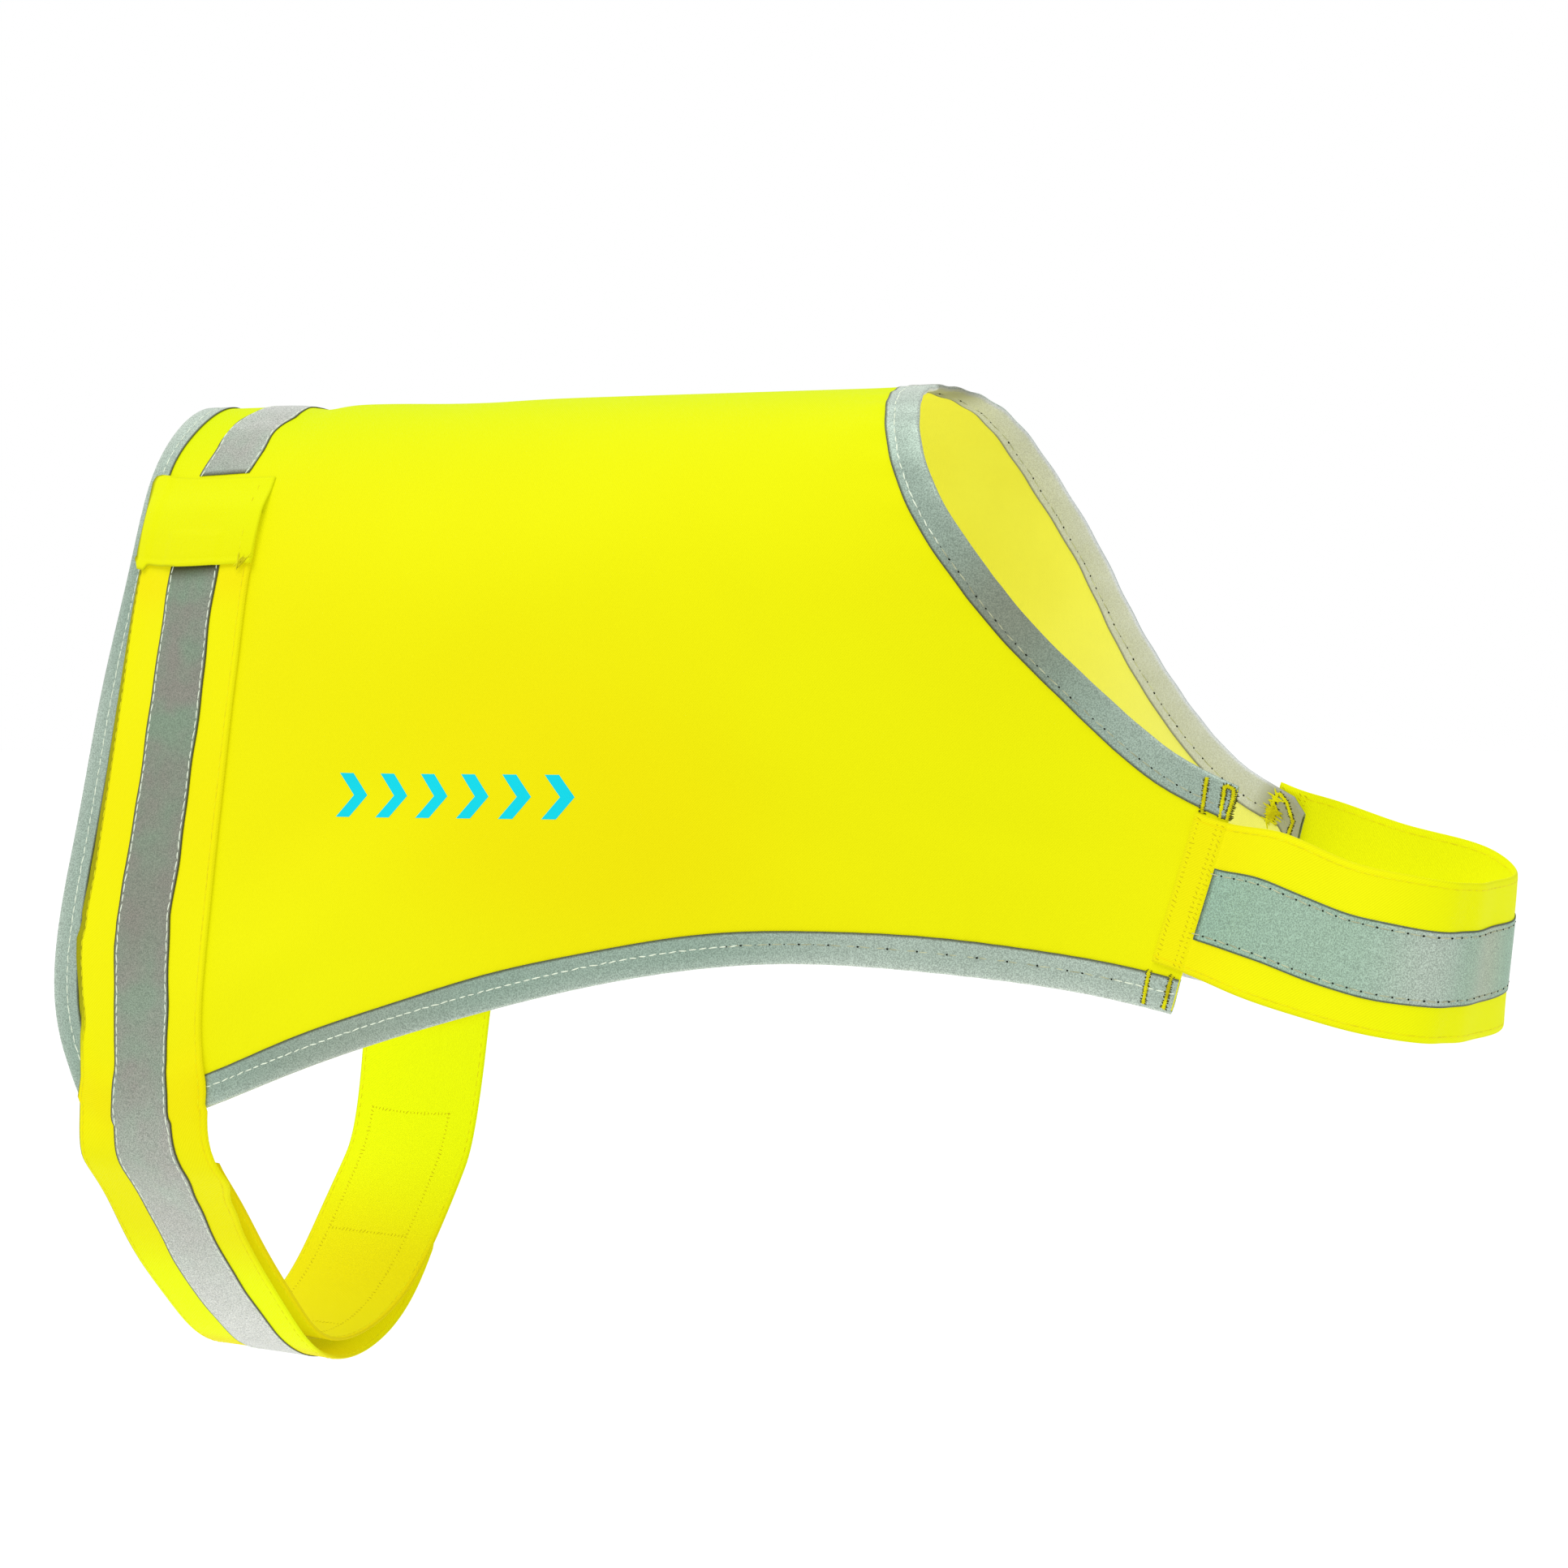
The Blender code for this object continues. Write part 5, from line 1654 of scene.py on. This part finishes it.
        # The near tape's tone is a painted reflection and its shadow painted shade below the keeper; the far
        # tape's tone paints it a little paler near its upper end.
        near = SewnTape("near_belly_tape", half=12.2, edges=edges).build(
            self.near, sewing, self.tape_top, self.near.length - 1.5, top,
            lambda along: np.interp(along, *zip(*TAPE_STRAY)),
            tone=lambda along: np.interp(along, *zip(*TAPE_PALE)),
            worn=lambda along: bells(NEAR_TAPE_WEAR, along),
            shadow=lambda along: bump(self.keeper_foot, 3.6, along),
        )
        far = SewnTape("far_belly_tape").build(
            self.far, sewing, self.tape_top, far_end, top,
            lambda along: 0.6 * np.sin(along / 30.0),
            tone=lambda along: 0.05 + 0.1 * bump(0, 30, along),
            worn=lambda along: bells(FAR_TAPE_WEAR, along),
        )
        return {"girth_tape_near": near, "girth_tape_far": far}

    def fastener(self, sewing: Sewing) -> dict[str, Piece]:
        """Loop tape on the far strap's outer face, hook tape on the near strap's inner face, and seams."""
        near, far, top = self.near, self.far, BAND_WALL / 2
        span = (far.length - self.leaves[1]) / (1 - self.inner_end)
        start, end = (self.leaves[1] + (1 - share) * span for share in reversed(self.loop_ends))
        pieces = {"loop_tape": self.pile("loop_strip", far, (start, end), 1)}
        low, high = self.pile_span[0] + self.pile_seam, self.pile_span[1] - self.pile_seam
        for row in (low, high):
            sewing.add(Thread.SEAM, far.line(row, -top, start, end))
        for step in (0.0, 52.0, 104.0, end - start):
            sewing.add(Thread.SEAM, far.cross_line(start + step, -top, low, high))
        self.laid["loop_tape"] = end - start
        span = (near.length - self.leaves[0]) / self.outer_end
        start, end = (self.leaves[0] + share * span for share in self.hook_ends)
        self.laid["hook_tape"] = end - start
        return pieces | {"hook_tape": self.pile("hook_strip", near, (start, end), -1)}

    def build(self, sewing: Sewing) -> dict[str, Piece]:
        """All pieces of the girth by the name of the node that each stands for."""
        self.near, self.far = near, far = self.strap(Side.NEAR), self.strap(Side.FAR)
        self.leaves = [float(strap.along[self.panel_stations - 1]) for strap in (near, far)]
        pieces = self.straps() | self.tapes(sewing) | self.fastener(sewing)
        top = BAND_WALL / 2
        for strap in (near, far):
            for row in (-self.edge_row, self.edge_row):
                for face in (top, -top):
                    sewing.add(Thread.YELLOW, strap.line(row, face, 3.0, strap.length - 3.0))
        for row in (-self.inner_row, self.inner_row):
            sewing.add(Thread.YELLOW, near.line(row, -top, self.leaves[0] + 6.0, near.length - 3.0))
        return pieces


# --- over the back ---


# Bells of height, centre and width: how far the back tape's two edges are kinked, counted from the ridge.
REAR_KINKS = ((-2.3, -25, 5), (2.2, -11, 6), (3.6, 2, 9))
FRONT_KINKS = ((0.8, -16, 3), (-2.1, -25, 7), (-3.4, 2, 8))


@dataclass
class BackTape:
    """The tape over the back, from the keeper on the near side to the far strap's upper end."""

    form: Form
    centre: float = -120.5
    half: float = 12.1
    bow: float = 6.0
    near_depth: float = 23.5
    far_depth: float = 37.4

    def build(self, sewing: Sewing) -> Piece:
        """The tape and its stitches."""
        form = self.form
        near, far = -form.row_at(self.centre, self.near_depth), form.row_at(self.centre, self.far_depth)
        rows = np.linspace(near, far, 90)[:, None]
        across = np.linspace(-TAPE_WIDTH / 2, TAPE_WIDTH / 2, 15)
        x = self.centre + self.bow * np.maximum(1 - (rows / near) ** 2, 0.0) + across[None, :]
        root = form.root_at(x, rows)
        base = Ribbon(form.raised(x, root), form.normal(x, root), across)
        self.run = base.length
        ridge = -near / (far - near) * base.length

        def edges(along: Array) -> tuple[Array, Array]:
            """How far the rear and front edges stray: kinked where the tape was eased over the ridge."""
            return bells(REAR_KINKS, along, ridge), bells(FRONT_KINKS, along, ridge)

        # tone paints the tape paler, most over the ridge: a painted highlight.
        return SewnTape("spine_tape", half=self.half, wander=1.8, edges=edges).build(
            base, sewing, 0.0, base.length, PANEL_WALL / 2,
            lambda along: 0.5 * np.sin(along / 8.0),
            tone=lambda along: 0.32 + bells(((0.6, 0, 18), (0.12, -21, 3)), along, ridge),
        )


@dataclass
class Keeper:
    """The patch sewn over the near strap's upper end and over the edging beside it."""

    form: Form
    girth: Girth
    top_depth: float = 25.9
    foot_depth: float = 56.5
    rear_top: float = -34.6
    rear_foot: float = -29.4
    front_top: float = 27.2
    front_foot: float = 29.0
    corner: float = 0.10
    rear_rise: float = 2.2
    tab: float = 2.4
    seam: float = 6.0

    def lift(self, x: Array, root: Array, line: Array) -> Array:
        """Height of what lies under the patch: edging, strap and tape, with soft steps between them."""
        depth = root * root
        edging = 1 - smooth(10.5, 14.0, x - self.form.rear(np.abs(root)))
        strap = smooth(27.5, 37.5, depth)
        tape = smooth(43.0, 46.0, depth) * (1 - smooth(12.0, 14.0, np.abs(line)))
        beyond = smooth(-33.0, -28.5, line) * (1 - smooth(28.2, 30.0, line))
        return (
            edging * (BINDING_WALL + SEAM + 0.3)
            + strap * beyond * (BAND_WALL + SEAM + 0.1)
            + tape * (TAPE_WALL + SEAM)
        )

    def build(self, sewing: Sewing) -> Piece:
        """The patch and the rows of stitches round it."""
        form, girth = self.form, self.girth
        down = np.linspace(0, 1, 44)[:, None]
        rear = self.rear_top + down * (self.rear_foot - self.rear_top)
        rear = rear + 4.0 * (1 - np.sqrt(1 - np.clip(1 - down / self.corner, 0, 1) ** 2))
        across = lines_across(0.0, self.front_top - self.rear_top, 1.25)
        ahead = (across / across[-1])[None, :]
        front = self.front_top + down * (self.front_foot - self.front_top)
        line = rear + ahead * (front - rear)
        depth = self.top_depth + down * (self.foot_depth - self.top_depth)
        depth = depth - self.rear_rise * (1 - ahead) * (1 - down)
        depth = depth + (1.2 * ahead - 1.5 * (1 - ahead)) * down**2
        tab = smooth(0.88, 1.0, down) * smooth(0.015, 0.03, ahead) * (1 - smooth(0.1, 0.13, ahead))
        depth = depth + self.tab * tab
        rows = np.vectorize(lambda d: form.row_at(girth.centre, d))(depth)
        x = girth.centre + girth.drift * rows**2 * REAR_EDGE[-1].depth / 250 + line
        root = form.root_at(x, -rows)
        hemmed = 0.4 * smooth(0.93, 0.955, down) + bells(((-0.15, 0.925, 0.012), (-0.16, 0.06, 0.014)), down)
        lift = ON_PANEL + PANEL_WALL / 2 + self.lift(x, root, line) + hemmed
        waves = np.sin(ahead * 5.5 + 0.6) * (1 - ahead) * smooth(0, 0.2, ahead)
        lift = lift + 0.35 * bump(0.55, 0.22, down) * waves
        patch = Ribbon(form.raised(x, root, lift), form.normal(x, root), across)
        top, column, end = PANEL_WALL / 2, across[-1] - self.seam, patch.length
        sewing.add(Thread.YELLOW, patch.line(column, top, 0.16 * end, 0.32 * end))
        sewing.add(Thread.YELLOW, patch.line(column, top, 0.68 * end, end - 2.5))
        sewing.add(Thread.RAGGED, patch.cross_line(end - 0.8, top, column + 0.5, column + 3.5))
        # tone paints golden shade, mostly on the patch's lower part; edge paints shade along its rear edge
        # and under its foot; worn makes it a little greener all over.
        tone = 0.2 + 0.5 * smooth(0.35, 0.9, down) + 0.25 * bump(0.6, 0.18, ahead) * bump(0.5, 0.2, down)
        edge = 0.95 * (across < 1.6)[None, :] + 0.5 * (down > 0.985) * (across < 24)[None, :]
        return patch.solid(
            "keeper_patch", PANEL_WALL, PANEL_CLOTH, 0.8, (0.15, 0.12), tone=np.clip(tone, 0, 1),
            worn=np.full((1, 1), 0.35), shadow=np.clip(edge, 0, 1),
        )


# --- chest ---


class ChestRow(NamedTuple):
    """A station of the chest strap: its top edge and its foot, from the near side round to the far side."""

    top: tuple[float, float, float]
    foot: tuple[float, float, float]


CHEST = table(
    ChestRow,
    ((292, -28.5, -133.4), (280, -34.5, -186.3)), ((316.5, -31.5, -140.6), (305, -37, -191.5)),
    ((337, -33, -143.6), (327, -38, -195)), ((349.5, -26, -146), (341.5, -31, -197.3)),
    ((354, 0, -148.2), (347, 0, -199.8)), ((351, 26, -147), (344, 31, -199)),
    ((339, 35, -142.6), (331, 40, -195)), ((309, 34, -136.2), (299.5, 39, -188)),
    ((285, 30, -128.8), (274, 36, -180.5)),
)


@dataclass
class ChestStrap:
    """The strap round the chest, sewn to both front edges, with its tape."""

    form: Form
    overlaps: tuple[float, float] = (11.0, 7.0)
    near_depths: tuple[float, float] = (142.8, 191.2)
    far_depths: tuple[float, float] = (128.8, 180.0)
    width: float = 52.0
    tape_span: tuple[float, float] = (0.285, 0.758)
    tape_margin: float = 12.0
    seam_rows: tuple[float, ...] = (1.8, 8.2, 10.2)
    fold: float = 11.6
    crease_row: float = 5.35
    hem_row: float = 2.2

    def root(self, side: Side, depths: tuple[float, float], lift: float) -> tuple[Array, Array]:
        """The strap's sewn end: its inner end on the panel, then where it leaves the front edge."""
        form, corner, hem = self.form, NECK_EDGE[-1], HEM_EDGE[-1]
        depth = np.array(depths)
        x = corner.x + (depth - corner.depth) / (hem.depth - corner.depth) * (hem.x - corner.x)
        root = form.askew(x, side.value * np.sqrt(depth))
        bare = form.raised(x, root)
        inward = side.value * np.cross(form.normal(x, root), unit(bare[1] - bare[0])[None, :])
        overlap = self.overlaps[side is Side.FAR]
        return form.raised(*form.inward(x, root, inward, overlap), lift), form.raised(x, root, lift)

    def ribbon(self) -> Ribbon:
        """The whole strap."""
        near = self.root(Side.NEAR, self.near_depths, ON_PANEL + BAND_WALL / 2)
        far = self.root(Side.FAR, self.far_depths, ON_BINDING + BAND_WALL / 2 + 0.3)
        edges = np.array([*near, *[(row.top, row.foot) for row in CHEST], *reversed(far)], float)
        runs = run_along(edges.mean(axis=1))
        band = Spline(runs, edges.reshape(len(edges), 6))
        steps = (-1.0, -0.45, 0.0, 0.45, 1.0)
        folds = [row + step for row in (self.fold, runs[-1] - self.fold) for step in steps]
        even = np.linspace(0, runs[-1], 170)
        at = np.array(sorted([e for e in even if min(abs(e - fold) for fold in folds) > 0.4] + folds))
        ends = band(at)
        top, foot = ends[:, :3], ends[:, 3:]
        across = lines_across(0.0, self.width, 3.2, (self.hem_row, self.width - self.hem_row))
        share = (across / self.width)[None, :, None]
        points = top[:, None, :] + share * (foot - top)[:, None, :]
        normals = unit(np.cross(np.gradient(points, axis=1), np.gradient(points, axis=0)))
        normals *= math.copysign(1, normals[len(at) // 2, 0, 0])
        crease = np.interp(self.crease_row, range(len(runs)), runs)
        lean = at[:, None] - crease - 2.0 * (share[..., 0] - 0.5)
        fold = bells(((-0.9, 0, 5), (0.5, 9, 7)), lean) - 0.35 * bump(self.fold, 0.5, at)[:, None]
        free = smooth(14, 40, at) * (1 - smooth(runs[-1] - 40, runs[-1] - 14, at))
        wave = 0.5 * np.sin(at / 19.0)[:, None] * (2 * share[..., 0] - 1) ** 3 * free[:, None]
        return Ribbon(points + (fold + wave)[..., None] * normals, normals, across)

    def build(self, sewing: Sewing) -> dict[str, Piece]:
        """The strap and its tape by the name of the node that each stands for."""
        strap, top = self.ribbon(), BAND_WALL / 2
        self.strap = strap
        centre = self.width * sum(self.tape_span) / 2
        half = self.width * (self.tape_span[1] - self.tape_span[0]) / 2
        tape = SewnTape("breast_tape", inset=2.0, half=half, finish=CHEST_TAPE, stained=True, wander=0.5)
        stray = ((1.0, 85, 32), (0.7, 10, 12))
        # golden is painted shade near the strap's near end, lit a painted light further on, hem painted shade
        # along the hem rows.
        golden = 0.3 * bump(14, 24, strap.along)[:, None]
        lit = 0.3 * smooth(70, 100, strap.along)[:, None]
        off = np.minimum(strap.across, self.width - strap.across)
        hem = 0.5 * (np.abs(off - self.hem_row) < 0.1)[None, :]
        tone = np.clip(hem + golden, 0, 1)
        for face in (top, -top):
            for row in (self.hem_row, self.width - self.hem_row):
                sewing.add(Thread.YELLOW, strap.line(row, face, 12.0, strap.length - 12.0))
            for row in self.seam_rows:
                for at in (row, strap.length - row):
                    sewing.add(Thread.SEAM, strap.cross_line(at, face, 1.5, self.width - 1.5))
        band = ("breast_strap", BAND_WALL, STRAP_CLOTH, 1.4, (0.15, 0.15))
        return {
            "chest_strap": strap.solid(*band, tone=tone, worn=lit),
            "chest_tape": tape.build(
                strap, sewing, self.tape_margin, strap.length - self.tape_margin, top,
                lambda along: centre + 0.4 * np.sin(along / 33.0) + bells(stray, along),
                # The tape's tone paints it paler, a painted highlight, and its worn a painted sheen further
                # along.
                tone=lambda along: 0.14 + 0.08 * np.sin(along / 23.0 - 1.2) + 0.45 * bump(95, 14, along),
                worn=lambda along: 0.5 * bump(126, 12, along),
            ),
        }


# --- print ---


@dataclass
class Print:
    """A level row of plain chevrons in screen ink on the near side."""

    form: Form
    count: int = 6
    first_x: float = -44.0
    depth: float = 134.0
    pitch: float = 16.5
    height: float = 15.0
    reach: float = 6.5
    stroke: float = 5.5
    ink: float = 0.06

    def build(self) -> Piece:
        """All chevrons as one piece of thin film."""
        form, rows, columns = self.form, 17, 4
        up = np.linspace(-1, 1, rows)
        points, faces, uv = [], [], []
        for i in range(self.count):
            lead = self.first_x + i * self.pitch + self.reach * (1 - np.abs(up))
            x = np.stack([lead + self.stroke * share for share in (0.0, 0.33, 0.67, 1.0)], axis=1)
            root = -np.sqrt(self.depth - self.height / 2 * np.broadcast_to(up[:, None], x.shape))
            faces += wall_faces(rows, columns, len(points) * rows * columns)
            for lift in (ON_PANEL - SEAM + 0.01 + self.ink, ON_PANEL - SEAM + 0.01):
                points.append(form.raised(x, root, lift).reshape(-1, 3))
                uv.append(np.stack([x, form.around(x, root)], axis=-1).reshape(-1, 2))
        return make_object("printed_chevrons", np.concatenate(points), faces, np.concatenate(uv), [PRINT_INK])


# --- studio ---


@dataclass
class Studio:
    """A pale floor, soft light and the camera."""

    floor_z: float = -700.0
    floor_radius: float = 6000.0
    floor_sides: int = 64
    lamp_distance: float = 3000.0
    target: tuple[float, float, float] = (92.5, 0.0, -131.0)
    azimuth: float = 30.0
    elevation: float = 6.0
    distance: float = 1600.0
    lens: float = 106.14
    ambient: float = 0.60

    def back(self, azimuth: float, elevation: float) -> Vector:
        """The unit direction from the vest to a viewer."""
        a, e = math.radians(azimuth), math.radians(elevation)
        return Vector((math.sin(a) * math.cos(e), -math.cos(a) * math.cos(e), math.sin(e)))

    def aim(self, thing: Piece, azimuth: float, elevation: float, distance: float) -> None:
        """Puts a camera or a light at a distance from the target, turned to it."""
        back = self.back(azimuth, elevation)
        thing.location = (Vector(self.target) + back * distance) * MM
        thing.rotation_euler = back.to_track_quat("Z", "Y").to_euler()

    def softbox(self, name: str, azimuth: float, elevation: float, spread: float, strength: float) -> None:
        """A large far light that is as wide as its spread in degrees."""
        lamp = bpy.data.lights.new(name, "SUN")
        lamp.angle, lamp.energy = math.radians(spread), strength
        self.aim(placed(name, lamp), azimuth, elevation, self.lamp_distance)

    def build(self) -> None:
        """The floor, the lights, the surroundings and the camera."""
        scene = bpy.context.scene
        scene.view_settings.view_transform = "Standard"
        radius, sides = self.floor_radius * MM, range(self.floor_sides)
        turns = [math.tau * side / self.floor_sides for side in sides]
        ring = [(math.cos(t) * radius, math.sin(t) * radius, self.floor_z * MM) for t in turns]
        mesh = bpy.data.meshes.new("studio_floor")
        mesh.from_pydata(ring, [], [list(sides)])
        white = Finish("matt white studio floor", "#FCFCFC", "#FBFBFB", sheen=0.0, specular=0.0)
        mesh.materials.append(white.material())
        floor = placed("studio_floor", mesh)
        world = bpy.data.worlds.new("studio")
        world.use_nodes = True
        tree = world.node_tree
        tree.nodes.clear()
        seen = add_node(tree, "ShaderNodeLightPath").outputs["Is Camera Ray"]
        links = {"Value": seen, "To Min": self.ambient, "To Max": 1.0}
        strength = add_node(tree, "ShaderNodeMapRange", links).outputs[0]
        links = {"Color": (1.0, 1.0, 1.0, 1.0), "Strength": strength}
        sky = add_node(tree, "ShaderNodeBackground", links).outputs[0]
        add_node(tree, "ShaderNodeOutputWorld", {"Surface": sky})
        scene.world = world
        self.softbox("overhead softbox", -20.0, 68.0, 55.0, 1.9)
        lens = bpy.data.cameras.new("camera")
        lens.lens, lens.sensor_width = self.lens, 36.0
        camera = placed("camera", lens)
        self.aim(camera, self.azimuth, self.elevation, self.distance)
        scene.camera = camera


# --- assembly ---


class Cloth(NamedTuple):
    """What is said of a piece of cloth."""

    node: str
    slot: Slot
    held: str
    rests_on: tuple[str, ...]
    width: float
    length: float


def declare(piece: Piece, cloth: Cloth) -> None:
    """Hangs a piece of cloth under the root, hides its node's imported part, and logs its area against its
    flat size.

    Args:
        piece: the cloth's closed thin wall, whose surface counts both faces.
        cloth: what is said of it.
    """
    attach(piece, "root")
    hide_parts(cloth.node)
    width, length = cloth.width * MM, cloth.length * MM
    area = min(sum(face.area for face in piece.data.polygons) / 2, width * length)
    list(cloth.rests_on)
    LOG.info("%s: %d faces, %.4f of %.4f m2", piece.name, len(piece.data.polygons), area, width * length)


def corner_tacks(neck: Binding, hem: Binding, sewing: Sewing) -> None:
    """Bar tacks and loose thread where the edge tapes end, on both faces."""
    hook = [(2.6, 1.02), (3.4, 0.5), (4.2, 0.05), (2.8, 0.0)]
    hook += [(0.9, 0.03), (0.5, 0.3), (0.4, 0.75), (0.3, 0.98)]
    bar = [(10.8 - 2.4 * share, share) for share in np.linspace(0.06, 1.12, 16)]
    slant = [(12.0, 0.0), (8.0, 0.14), (3.4, 0.4)]
    for face in (1, -1):
        sewing.tack(Thread.TACK, neck.path(bar, -1, face), neck.path(hook, -1, face))
        sewing.tack(Thread.TACK, hem.tack(0, 2.6, face), hem.tack(0, 10.0, face))
        sewing.tack(Thread.TACK, hem.tack(-1, 2.4, face), hem.tack(-1, 10.5, face))
        sewing.tack(Thread.TACK, neck.tack(0, 3.2, face, 0.35), neck.path(slant, 0, face))
        ragged = neck.tack(0, 12.4, face, 0.05, 1.1), neck.tack(0, 10.6, face, 0.5, 1.0)
        sewing.tack(Thread.RAGGED, *ragged)


def flat_size(piece: Piece) -> tuple[float, float]:
    """Width and length of a sheet laid flat, from its own coordinates, in millimetres."""
    own = np.array([corner.uv for corner in piece.data.uv_layers["cloth"].data]) / MM
    length, width = (own.max(axis=0) - own.min(axis=0)).tolist()
    return width, length


def main() -> None:
    """Builds the pieces in order and puts them in the frame."""
    logging.basicConfig(level=logging.INFO, format="%(name)s: %(message)s")
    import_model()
    Studio().build()
    form, sewing = Form(), Sewing()
    panel = Panel(form).build()
    neck, hem = neck_binding(form), hem_binding(form)
    made = {"back_panel": panel, "neck_binding": neck.build(sewing), "edge_binding": hem.build(sewing)}
    girth = Girth(form)
    made |= girth.build(sewing)
    spine = BackTape(form)
    made["back_tape"] = spine.build(sewing)
    made["strap_cover"] = Keeper(form, girth).build(sewing)
    chest = ChestStrap(form)
    made |= chest.build(sewing)
    corner_tacks(neck, hem, sewing)
    tape, strap, cloth, pile = Slot.TAPE, Slot.STRAP, Slot.PANEL, Slot.FASTENER
    back, near, far, chested = (
        (name,) for name in ("back_cloth", "near_belly_strap", "far_belly_strap", "breast_strap")
    )
    laid, across = girth.laid, 2 * girth.half
    rows = table(
        Cloth,
        ("back_panel", cloth, "draped", (), *flat_size(panel)),
        ("neck_binding", tape, "folded", back, TAPE_WIDTH, neck.run[-1]),
        ("edge_binding", tape, "folded", back, TAPE_WIDTH, hem.run[-1]),
        ("girth_strap_outer", strap, "hung", back, across, girth.near.length),
        ("girth_strap_inner", strap, "hung", back, across, girth.far.length),
        ("girth_tape_near", tape, "laid", near, TAPE_WIDTH, girth.near.length - NEAR_TAPE_SHORT),
        ("girth_tape_far", tape, "laid", far, TAPE_WIDTH, laid["girth_tape_far"]),
        ("hook_tape", pile, "laid", near, FASTENER_WIDTH, laid["hook_tape"]),
        ("loop_tape", pile, "laid", far, FASTENER_WIDTH, laid["loop_tape"]),
        ("back_tape", tape, "laid", back, TAPE_WIDTH, spine.run),
        ("strap_cover", cloth, "laid", near, *COVER_CUT),
        ("chest_strap", strap, "hung", back, chest.width, chest.strap.length),
        ("chest_tape", tape, "laid", chested, TAPE_WIDTH, chest.strap.length - CHEST_TAPE_SHORT),
    )
    for row in rows:
        declare(made[row.node], row)
    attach(Print(form).build(), "root")
    for piece in sewing.build().values():
        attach(piece, "root")
        LOG.info("%s: %d faces", piece.name, len(piece.data.polygons))


if __name__ == "__main__":
    main()
